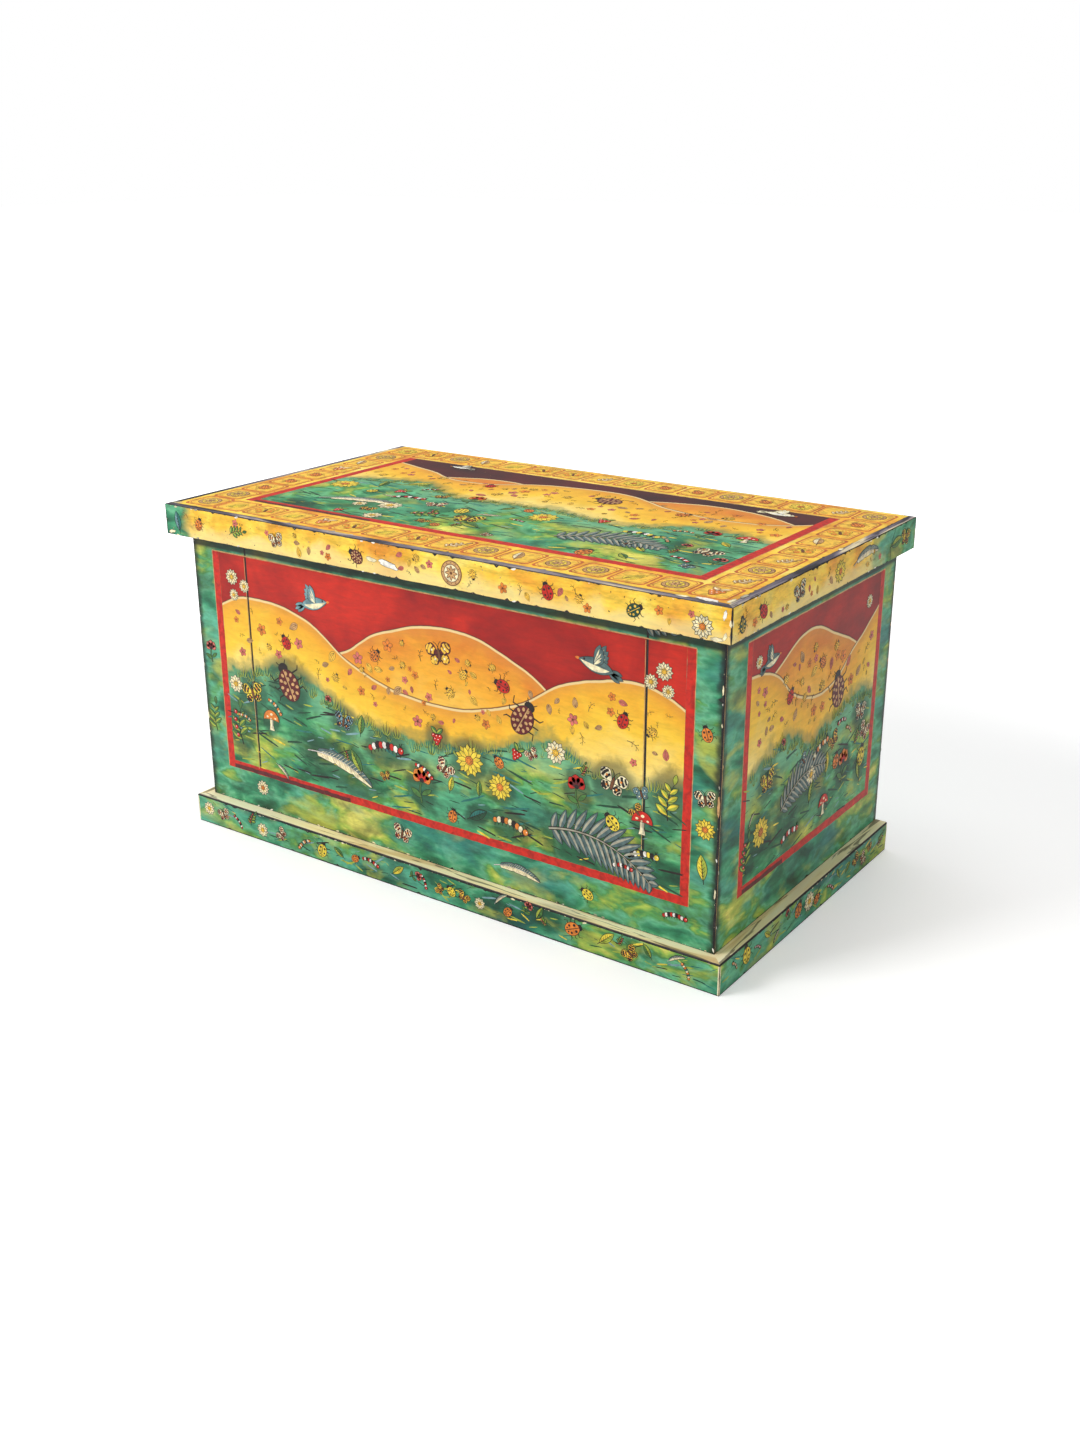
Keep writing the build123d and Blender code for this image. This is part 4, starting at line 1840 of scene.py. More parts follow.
@dataclass(frozen=True)
class Scatter:
    """Small motifs placed by chance, clear of each other and of what is drawn already."""

    motifs: Sequence[Motif]
    area: Panel
    count: int
    sizes: tuple[float, float]
    seed: int
    fits: Callable[[float, float], bool] = lambda u, v: True
    spin: float = 180.0

    def spots(self, taken: list[Spot]) -> list[Spot]:
        """Choose the places.

        Args:
            taken: The motifs that are drawn already.

        Returns:
            The new places.
        """
        rng, found = random.Random(self.seed), []
        for _ in range(self.count * TRIES):
            if len(found) == self.count:
                break
            u, v = rng.uniform(self.area.left, self.area.right), rng.uniform(self.area.bottom, self.area.top)
            size, turn = rng.uniform(*self.sizes), rng.uniform(-self.spin, self.spin)
            if not self.fits(u * MILLIMETRE, v * MILLIMETRE):
                continue
            if all(dist((u, v), (spot.u, spot.v)) > CLEARANCE * (size + spot.size) for spot in taken + found):
                motif = self.motifs[len(found) % len(self.motifs)]
                found.append(Spot(motif, u, v, size, turn, rng.random() < 0.5))
        return found


@dataclass(frozen=True)
class Wear:
    """How far the paper has gone back from each side of a sheet."""

    left: float = 0.0
    right: float = 0.0
    bottom: float = 0.0
    top: float = 0.0


def worn_outline(panel: Panel, wear: Wear, rng: random.Random) -> Outline:
    """The outline of a sheet whose edges have worn.

    Args:
        panel: The sheet as it was pasted.
        wear: How far each side has worn.
        rng: The source of chance.

    Returns:
        The outline, counter-clockwise.
    """

    def side(start: Point, end: Point, amount: float) -> Outline:
        """Wear one side.

        Args:
            start: Its start.
            end: Its end.
            amount: How far it has worn.

        Returns:
            Its points, without its end.
        """
        length = dist(start, end)
        inward = (-(end[1] - start[1]) / length, (end[0] - start[0]) / length)
        count = max(2, round(length / PAPER_STEP)) if amount else 1
        drift, points = rng.random(), []
        for n in range(count):
            drift = 0.72 * drift + 0.28 * rng.random()
            depth = amount * (0.25 + 1.1 * drift * drift)
            if amount and rng.random() < NICKS:
                depth += amount * rng.uniform(0.6, 2.2)
            share = n / count
            away = min(1.0, 4 * share, 4 * (1 - share)) if amount else 0.0
            depth *= 0.4 + 0.6 * away
            points.append(tuple(a + (b - a) * share + way * depth for a, b, way in zip(start, end, inward)))
        return points

    inset = 0.35
    corner = panel.inset(*(inset * worn for worn in (wear.left, wear.right, wear.bottom, wear.top))).corners
    amounts = (wear.bottom, wear.right, wear.top, wear.left)
    points: Outline = []
    for n, amount in enumerate(amounts):
        points += side(corner[n], corner[(n + 1) % 4], amount)
    return points


def sheet(name: str, face: Face, panel: Panel, wear: Wear, material: Finish, seed: int) -> None:
    """Paste a sheet of printed paper on a board.

    Args:
        name: The piece's name.
        face: The side it lies on.
        panel: Its rectangle.
        wear: How far its edges have worn.
        material: Its finish.
        seed: The start of its chance.
    """
    art = Artwork(name, face, 0.0)
    art.cut(worn_outline(panel, wear, random.Random(seed)), (1.0, 1.0, 1.0), SHEET / INK_LAYER)
    keep(art.piece(material), face)


def keep(piece: Thing, face: Face) -> None:
    """Attach a piece to the body of the face that it lies on.

    Args:
        piece: The piece.
        face: The face that it lies on.
    """
    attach(piece, face.body)
    log.info("laid %s", piece.name)


@dataclass
class Studio:
    """The plain pale floor, soft light and camera."""

    camera_place: Vector = Vector((1.212, -1.695, 0.982))
    camera_right: Vector = Vector((0.817, 0.5766, -0.0041))
    camera_up: Vector = Vector((-0.2032, 0.2945, 0.9338))
    lens_mm: float = 38.0
    floor_size: float = 40.0
    clear_from: float = 0.9
    clear_to: float = 2.0
    floor_glow: float = 0.29
    key_watts: float = 138.0
    fill_watts: float = 22.0
    top_watts: float = 54.0
    sky_strength: float = 0.30
    look_at: float = 0.25

    def build(self) -> None:
        """Make the whole studio."""
        self.floor()
        self.world()
        self.lamp("key", (-2.1, -3.2, 2.9), 1.8, self.key_watts)
        self.lamp("fill", (3.4, -1.2, 1.6), 2.4, self.fill_watts)
        self.lamp("top", (-0.3, 0.4, 3.4), 2.2, self.top_watts)
        self.camera()
        log.info("studio ready")

    def floor(self) -> None:
        """A white floor that keeps the chest's shadow and has no visible end."""
        half = self.floor_size / 2
        mesh = bpy.data.meshes.new("floor")
        corners = Panel(-half, half, -half, half).corners
        mesh.from_pydata([(x, y, 0) for x, y in corners], [], [(0, 1, 2, 3)])
        floor = stand("floor", mesh)
        brush = Brush("floor", 0.9)
        seen = brush.add("ShaderNodeLightPath").outputs["Is Camera Ray"]
        reach = brush.add("ShaderNodeVectorMath", {0: brush.place}, operation="LENGTH").outputs["Value"]
        lift = brush.sum("MULTIPLY_ADD", brush.step(reach, self.clear_from, self.clear_to), 0.7, self.floor_glow)
        brush.skin.inputs["Emission Color"].default_value = (1.0, 1.0, 1.0, 1.0)
        brush.tree.links.new(brush.sum("MULTIPLY", seen, lift), brush.skin.inputs["Emission Strength"])
        mesh.materials.append(brush.finish((0.88, 0.88, 0.88)))

    def world(self) -> None:
        """An even pale sky, white to the camera."""
        world = bpy.data.worlds.new("studio")
        world.use_nodes = True
        bpy.context.scene.world = world
        tree = world.node_tree
        back = tree.nodes["Background"]
        back.inputs["Color"].default_value = (1.0, 1.0, 1.0, 1.0)
        seen = add_node(tree, "ShaderNodeLightPath").outputs["Is Camera Ray"]
        limits = {"Value": seen, "To Min": self.sky_strength, "To Max": 1.0}
        strength = add_node(tree, "ShaderNodeMapRange", limits).outputs[0]
        tree.links.new(strength, back.inputs["Strength"])

    def lamp(self, name: str, place: Sequence[float], size: float, power: float) -> None:
        """Hang a large soft lamp that looks at the chest.

        Args:
            name: Its name.
            place: Where it hangs.
            size: Its width.
            power: Its strength in watts.
        """
        light = bpy.data.lights.new(name, "AREA")
        light.size = size
        light.energy = power
        lamp = stand(name, light)
        lamp.location = place
        aim = Vector((0.0, 0.0, self.look_at)) - Vector(place)
        lamp.rotation_euler = aim.to_track_quat("-Z", "Y").to_euler()

    def camera(self) -> None:
        """Set the camera at the photograph's place."""
        data = bpy.data.cameras.new("camera")
        data.lens = self.lens_mm
        data.sensor_width = 36.0
        data.clip_end = 100.0
        camera = stand("camera", data)
        right, up = self.camera_right.normalized(), self.camera_up.normalized()
        back = right.cross(up)
        turn = Matrix((right, up, back)).transposed().to_4x4()
        camera.matrix_world = Matrix.Translation(self.camera_place) @ turn
        bpy.context.scene.camera = camera
        bpy.context.scene.view_settings.view_transform = "Standard"


def dress(node: str, material: Finish, nodes: dict[str, Thing]) -> None:
    """Give a frame node its finish.

    Args:
        node: The node's name.
        material: The finish.
        nodes: The frame's nodes.
    """
    piece = nodes[node]
    for place in piece.material_slots:
        place.material = material
    if not piece.material_slots:
        piece.data.materials.append(material)


class Printer:
    """The ink, the stock of small shapes, and the pieces that are made with them."""

    margin = 0.012

    def __init__(self) -> None:
        """Mix the ink and cut the stock."""
        self.ink = PrintInk().material()
        self.stock = Stock(self.ink)
        greens = [Dab(ink, 11.0, n) for n, ink in enumerate((Ink.DEEP_LEAF, Ink.DARK, Ink.TEAL, Ink.DEEP_LEAF))]
        lights = [Dab(ink, 9.0, 10 + n) for n, ink in enumerate((Ink.LIME, Ink.LIME, Ink.SKY, Ink.YELLOW))]
        self.dark_dabs = self.stock.shapes(greens, 0.012)
        self.light_dabs = self.stock.shapes(lights, 0.010)
        warm = (Ink.BROWN, Ink.ORANGE, Ink.TAN)
        self.specks = self.stock.shapes([Dab(ink, 1.4, n) for n, ink in enumerate(warm)], 0.002)
        pale = (Ink.CREAM, Ink.WHITE, Ink.CREAM, Ink.STONE, Ink.DARK)
        self.chips = self.stock.shapes([Dab(ink, 2.6, 20 + n) for n, ink in enumerate(pale)], 0.004)
        self.tufts = self.stock.shapes([Tuft(), Tuft(Ink.DARK, 5), Tuft(Ink.TEAL, 6)], 0.02)
        self.tiles = self.stock.shapes(TILES, 0.052)

    def draw(self, name: str, face: Face, marks: Iterable[Spot | Band]) -> None:
        """Print a set of marks on a face.

        Args:
            name: The piece's name.
            face: The face.
            marks: What is drawn.
        """
        art = Artwork(name, face)
        for mark in marks:
            mark.draw(art)
        keep(art.piece(self.ink), face)

    def grow(self, name: str, face: Face, outline: Outline, shapes: Sequence[Thing], growth: Growth) -> None:
        """Set copies of stock shapes out on a face."""
        keep(growth.grow(name, face, outline, shapes, self.ink), face)

    def worn_edge(self, name: str, face: Face, start: Point, end: Point, seed: int, largest: float = 0.005) -> None:
        """Chip the print along an edge.

        Args:
            name: The piece's name, without its last word.
            face: The face.
            start: The edge's start.
            end: The edge's end.
            seed: The start of its chance.
            largest: The largest chip.
        """
        upright = abs(end[0] - start[0]) < abs(end[1] - start[1])
        jitter, spacing = ((0.0006, 0.011), 0.016) if upright else ((0.006, 0.0005), 0.009)
        length = dist(start, end)
        ends = [self.margin / length, 1 - self.margin / length]
        line = [tuple(a + (b - a) * share for a, b in zip(start, end)) for share in ends]
        turn = 0.5 * pi if upright else 0.0
        growth = Growth(Placing.LINE, 0.0006, largest, spacing, 0.5, jitter, 6.0, seed, turn)
        self.grow(f"{name}_chips", face, line, self.chips, growth)


TILES = (
    Tile(Leaf(), 0.62, 20.0, -0.26),
    Tile(Daisy(Ink.CREAM, Ink.ORANGE), 0.66),
    Tile(Moth(Ink.CREAM, Ink.ORANGE, Ink.RED), 0.72, 30.0),
    Tile(Rosette(), 0.64),
    Tile(Sprig(), 0.66, -24.0, -0.30),
    Tile(Beetle(Ink.ORANGE, Ink.BROWN), 0.52, 40.0),
    Tile(Seed(Ink.CREAM), 0.60, -40.0),
    Tile(Berries(Ink.ORANGE), 0.66),
)


@dataclass(frozen=True)
class Band:
    """A hand-painted stripe between two places, in millimetres, that wavers a little."""

    start: Point
    end: Point
    width: float
    ink: Ink = Ink.RED
    layer: float = 0.6
    waver: float = 0.35

    def draw(self, art: Artwork) -> None:
        """Draw it on an artwork.

        Args:
            art: The artwork.
        """
        rng = random.Random(f"{self.start}{self.end}")
        count = max(2, round(dist(self.start, self.end) / 9))
        path = []
        for n in range(count + 1):
            shake = rng.uniform(-self.waver, self.waver) if 0 < n < count else 0.0
            share = n / count
            u = self.start[0] + (self.end[0] - self.start[0]) * share + shake
            v = self.start[1] + (self.end[1] - self.start[1]) * share + shake
            path.append((u * MILLIMETRE, v * MILLIMETRE))
        width = self.width * MILLIMETRE
        art.cut(ribbon(path, width, width), self.ink.light, self.layer)


def bordered(panel: Panel, width: float) -> list[Band]:
    """The stripe round a picture: red sides and a red foot that is partly maroon.

    Args:
        panel: The picture, in millimetres.
        width: The stripe's width.

    Returns:
        The bands.
    """
    half = width / 2
    left, right, foot = panel.left - half, panel.right + half, panel.bottom - half
    turn = panel.left + 0.3 * panel.width
    return [
        Band((left, foot - half), (left, panel.top + 1), width),
        Band((right, foot - half), (right, panel.top + 1), width),
        Band((left - half, foot), (right + half, foot), width, layer=0.8),
        Band((left + half, foot - 0.2 * width), (turn, foot - 0.2 * width), 0.55 * width, Ink.MAROON, 1.0, 0.8),
        Band((left - half, panel.top + 0.5), (right + half, panel.top + 0.5), 1.6, Ink.TAN, 1.2, 0.2),
        Band((left - half - 0.5, foot - half), (left - half - 0.5, panel.top), 1.0, Ink.TAN, 0.5, 0.2),
        Band((right + half + 0.5, foot - half), (right + half + 0.5, panel.top), 1.0, Ink.TAN, 0.5, 0.2),
    ]


SEEDS = (
    Seed(), Floret(), Twig(), Seed(Ink.ROSE), Floret(Ink.ORANGE), Twig(Ink.DARK), Seed(Ink.GOLD),
    Beetle(Ink.GOLD, Ink.BROWN),
)
SMALL_LIFE = (
    Moth(Ink.GOLD), Caterpillar(), Leaf(), Beetle(Ink.ORANGE), Daisy(Ink.CREAM, Ink.GOLD, 9), Sprig(berry=Ink.RED),
    Moth(Ink.CREAM, Ink.MAROON), Caterpillar((Ink.ORANGE, Ink.CREAM, Ink.TEAL)), Feather(), Leaf(Ink.LIME, Ink.YELLOW),
    Beetle(Ink.YELLOW), Poppy(Ink.ROSE, Ink.MAROON), Moth(Ink.SKY, Ink.SLATE, Ink.CREAM), Berries(Ink.RED),
)


@dataclass
class Picture:
    """One face's picture: its printed ground, its stripe, its small things and its grass."""

    name: str
    face: Face
    scene: Landscape
    printer: Printer
    seed: int
    stripe: float
    clear: float = 14.0
    drawing_sizes: tuple[float, float] = (7.0, 19.0)
    life_sizes: tuple[float, float] = (20.0, 38.0)
    life_lean: float = 50.0
    steps: int = 40

    def build(self, spots: list[Spot], seeds: int, life: int) -> None:
        """Print everything that lies on the ground.

        Args:
            spots: The main motifs.
            seeds: How many small line drawings lie on the hills.
            life: How many small creatures and plants fill the meadow.
        """
        area = self.scene.panel.millimetres
        inner = area.shrunk(self.clear)
        hills = Scatter(SEEDS, inner, seeds, self.drawing_sizes, self.seed, self.scene.golden_at).spots(spots)
        grassy, lean = self.scene.grassy_at, self.life_lean
        creatures = Scatter(SMALL_LIFE, inner, life, self.life_sizes, self.seed + 1, grassy, lean)
        low = creatures.spots(spots + hills)
        frame = bordered(area, self.stripe * TO_MILLIMETRES)
        for label, marks in (("frame", frame), ("seeds", hills), ("life", spots + low)):
            self.printer.draw(f"{self.name}_{label}", self.face, marks)
        self.grass()

    def grass(self) -> None:
        """Dash the meadow with dark and pale strokes, and stand tufts along its edge."""
        scene, panel, printer = self.scene, self.scene.panel, self.printer
        edge = [
            (panel.left + panel.width * t, panel.bottom + panel.height * level(scene.meadow_edge, t))
            for t in (n / self.steps for n in range(self.steps + 1))
        ]
        rim = ((u, v - 0.008) for u, v in edge[::-1])
        low_ground = [(panel.right, panel.bottom), *rim, (panel.left, panel.bottom)]
        dark = Growth(Placing.AREA, 0.003, 0.016, 2500.0, 0.9, rarity=1.6, seed=self.seed + 1)
        pale = Growth(Placing.AREA, 0.003, 0.012, 1100.0, 0.9, rarity=1.6, seed=self.seed + 2)
        tall = Growth(Placing.LINE, 0.008, 0.022, 0.0065, 0.5, (0.004, 0.007), 1.5, self.seed + 3)
        crest = [(u, v - 0.014) for u, v in edge[1:-1]]
        for label, guide, shapes, growth in (
            ("dashes", low_ground, printer.dark_dabs, dark),
            ("glints", low_ground, printer.light_dabs, pale),
            ("tufts", crest, printer.tufts, tall),
        ):
            printer.grow(f"{self.name}_{label}", self.face, guide, shapes, growth)


@dataclass
class Walls:
    """The four walls with their printed sheets."""

    nodes: dict[str, Thing]
    printer: Printer
    seam: float = 0.332
    seam_foot: float = 0.108
    joint: float = 0.0030
    stripe: float = 0.012
    border: float = 0.039
    below: float = 0.066
    above: float = 0.045
    band_foot: float = 0.002
    arris: float = 0.0018
    halo_below: float = 260.0
    seam_line: float = 2.5
    seam_top: float = 430.0

    def build(self) -> None:
        """Make the sheets, their pictures and the boards' finishes."""
        faces: dict[str, Face] = {}
        for node, side, slot in (
            ("front_board", Side.FRONT, "printed_board"),
            ("back_board", Side.BACK, "back_wood"),
            ("left_side_board", Side.LEFT, "printed_board"),
            ("right_side_board", Side.RIGHT, "printed_board"),
        ):
            faces[node] = side.of(node, slot)[0]
            dress(node, BoardPaint(node, faces[node].normal, grain=faces[node].right).material(), self.nodes)
        front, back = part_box("front_board"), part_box("back_board")
        ledge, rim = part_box("plinth_front")[1].z, front[1].z
        near, far = front[0].y, back[1].y
        self.front(faces["front_board"], Panel(front[0].x, front[1].x, ledge, rim))
        self.side("right", faces["right_side_board"], Panel(near, far, ledge, rim), 60.0, RIGHT_SIDE, (0.014, 0.0))
        self.side("left", faces["left_side_board"], Panel(-far, -near, ledge, rim), 80.0, LEFT_SIDE, (0.0, 0.014))
        panel = Panel(-back[1].x, -back[0].x, 0.0, rim).inset(0.003, 0.003, 0.004, 0.003)
        paper = GreenPaper(50.0).material()
        sheet("back_sheet", faces["back_board"], panel, Wear(0.003, 0.003, 0.004, 0.003), paper, 8)

    def landscape(
        self, name: str, face: Face, panel: Panel, skies: tuple[Colour, Colour], hills: Sequence[Sequence[Point]],
        shift: float, spots: Sequence[Spot], extra: tuple[float, float] = (0.0, 0.0),
    ) -> Landscape:
        """A wall's picture, inside its red stripe.

        Args:
            name: The finish's name.
            face: The wall's face.
            panel: The wall's rectangle.
            skies: The sky's two colours.
            hills: The far hills, the near hills and the meadow's edge.
            shift: A move, so that two walls differ.
            spots: Its main motifs.
            extra: How much wider the border is on the left and on the right.

        Returns:
            The picture.
        """
        side = self.border + self.stripe
        picture = panel.inset(side + extra[0], side + extra[1], self.below, self.above)
        halos = [spot for spot in spots if spot.v < self.halo_below]
        shade, middle = panel.top - self.above + self.band_foot, (panel.left + panel.right) / 2
        return Landscape(name, face, picture, skies, *hills, shift, False, shade, panel.width / 2, middle, halos)

    def front(self, face: Face, panel: Panel) -> None:
        """The front's sheets, with open joints that end above the foot, and its picture.

        Args:
            face: The front's face.
            panel: Its rectangle above the ledge.
        """
        hills = (
            ((0, 0.58), (0.12, 0.64), (0.26, 0.64), (0.40, 0.80), (0.55, 0.87), (0.69, 0.78), (0.82, 0.62), (1, 0.64)),
            (
                (0, 0.76), (0.08, 0.82), (0.20, 0.78), (0.34, 0.60), (0.50, 0.53), (0.66, 0.60),
                (0.80, 0.77), (0.92, 0.82), (1, 0.76),
            ),
            ((0, 0.44), (0.16, 0.52), (0.30, 0.40), (0.46, 0.35), (0.60, 0.41), (0.76, 0.50), (0.90, 0.41), (1, 0.46)),
        )
        skies = (linear(150, 12, 8), linear(200, 34, 14))
        scene = self.landscape("front_print", face, panel, skies, hills, 1.0, FRONT)
        paper, printer = scene.material(), self.printer
        joint, foot = self.joint / 2, self.seam_foot
        limits = (panel.left, -self.seam, self.seam, panel.right)
        base = Panel(panel.left, panel.right, panel.bottom, foot)
        sheet("front_sheet_foot", face, base, Wear(0.0022, 0.0030, 0.0012, 0.0), paper, 10)
        for n, name in enumerate(("left", "centre", "right")):
            start, end = limits[n] + (joint if n else 0.0), limits[n + 1] - (joint if n < 2 else 0.0)
            part = Panel(start, end, foot, panel.top)
            wear = Wear(0.0022 if n == 0 else 0.0002, 0.0034 if n == 2 else 0.0002, 0.0, 0.002)
            sheet(f"front_sheet_{name}", face, part, wear, paper, 11 + n)
        places = [side * self.seam * TO_MILLIMETRES - self.seam_line for side in (-1, 1)]
        ends = [((place, foot * TO_MILLIMETRES), (place, self.seam_top)) for place in places]
        seams = [Band(*pair, 0.8, Ink.TAN, 1.4, 0.2) for pair in ends]
        printer.draw("front_seam_lines", face, seams)
        Picture("front", face, scene, printer, 300, self.stripe).build(FRONT, 96, 26)
        printer.draw("front_border_life", face, FRONT_BORDER)
        printer.draw("front_corner_scars", face, FRONT_SCARS)
        left, right, low = panel.left + self.arris, panel.right - self.arris, panel.bottom + self.arris
        printer.worn_edge("front_right", face, (right, panel.bottom), (right, panel.top), 61)
        printer.worn_edge("front_left", face, (left, panel.bottom), (left, panel.top), 62)
        printer.worn_edge("front_foot", face, (left, low), (right, low), 63)

    def side(
        self, name: str, face: Face, panel: Panel, shift: float, spots: list[Spot], extra: tuple[float, float]
    ) -> None:
        """One sheet and its picture on an end wall.

        Args:
            name: Which end.
            face: Its face.
            panel: Its rectangle above the ledge.
            shift: A move, so that the ends differ.
            spots: Its main motifs.
            extra: How much wider the border is on the left and on the right.
        """
        hills = (
            ((0, 0.72), (0.2, 0.84), (0.42, 0.92), (0.64, 0.84), (1, 0.62)),
            ((0, 0.86), (0.16, 0.82), (0.36, 0.66), (0.6, 0.62), (0.82, 0.74), (1, 0.86)),
            ((0, 0.44), (0.24, 0.52), (0.5, 0.42), (0.78, 0.52), (1, 0.48)),
        )
        skies = (linear(130, 12, 10), linear(176, 28, 14))
        scene = self.landscape(f"{name}_print", face, panel, skies, hills, shift, spots, extra)
        sheet(f"{name}_sheet", face, panel, Wear(0.0022, 0.0022, 0.0015, 0.002), scene.material(), 21)
        seed = 400 + int(shift)
        Picture(name, face, scene, self.printer, seed, self.stripe).build(spots, 52, 18)
        for edge, place in (("near", panel.left + self.arris), ("far", panel.right - self.arris)):
            self.printer.worn_edge(f"{name}_{edge}", face, (place, panel.bottom), (place, panel.top), seed + 7)


@dataclass
class Plinth:
    """The three plinth boards."""

    nodes: dict[str, Thing]
    printer: Printer
    arris: float = 0.002
    clear: float = 0.008
    rim: float = 0.0012
    foot: float = 0.0008
    strip: tuple[float, float] = (17.0, 27.0)
    strip_end: float = 22.0
    life_sizes: tuple[float, float] = (17.0, 30.0)
    life_lean: float = 70.0

    def build(self) -> None:
        """Make the sheets, their small things and the boards' finishes."""
        green = GreenPaper(100.0).material()
        for name, side, count in (("front", Side.FRONT, 30), ("right", Side.RIGHT, 16), ("left", Side.LEFT, 16)):
            node = f"plinth_{name}"
            face, board = side.of(node, "plinth_paint")
            dress(node, BoardPaint(node, face.normal, Ledge.CREAM, face.right).material(), self.nodes)
            panel = board.inset(0.0, 0.0, self.foot, self.arris)
            sheet(f"plinth_sheet_{name}", face, panel, Wear(0.0015, 0.0024, 0.0012, 0.0016), green, 31)
            self.life(node, face, board, count)
            self.wear(node, face, panel)

    def life(self, node: str, face: Face, board: Panel, count: int) -> None:
        """Scatter small creatures and strokes along a board.

        Args:
            node: The board.
            face: Its face.
            board: Its rectangle.
            count: How many creatures there are.
        """
        printer = self.printer
        whole, end = board.millimetres, self.strip_end
        strip = Panel(whole.left + end, whole.right - end, *self.strip)
        life = Scatter(SMALL_LIFE[:12], strip, count, self.life_sizes, 500 + count, spin=self.life_lean)
        printer.draw(f"{node}_life", face, life.spots([]))
        area = board.shrunk(self.clear).corners
        layers = (("dashes", printer.dark_dabs, 2800.0), ("glints", printer.light_dabs, 3000.0))
        for label, shapes, amount in layers:
            growth = Growth(Placing.AREA, 0.003, 0.011, amount, 1.2, rarity=1.6, seed=int(amount) % 97)
            printer.grow(f"{node}_{label}", face, area, shapes, growth)

    def wear(self, node: str, face: Face, panel: Panel) -> None:
        """Rub a board's arrises down to cream paint.

        Args:
            node: The board.
            face: Its face.
            panel: The sheet's rectangle.
        """
        printer, rim = self.printer, panel.top - self.rim
        printer.worn_edge(f"{node}_top", face, (panel.left, rim), (panel.right, rim), 71)
        ends = [(panel.left + self.rim) * TO_MILLIMETRES, (panel.right - self.rim) * TO_MILLIMETRES]
        bands = [Band((end, 1.0), (end, 41.0), 1.8, Ink.CREAM, 0.4, 0.5) for end in ends]
        printer.draw(f"{node}_corners", face, bands)
        for label, place in (("start", panel.left + self.arris), ("end", panel.right - self.arris)):
            printer.worn_edge(f"{node}_{label}", face, (place, 0.001), (place, panel.top), 73, 0.007)


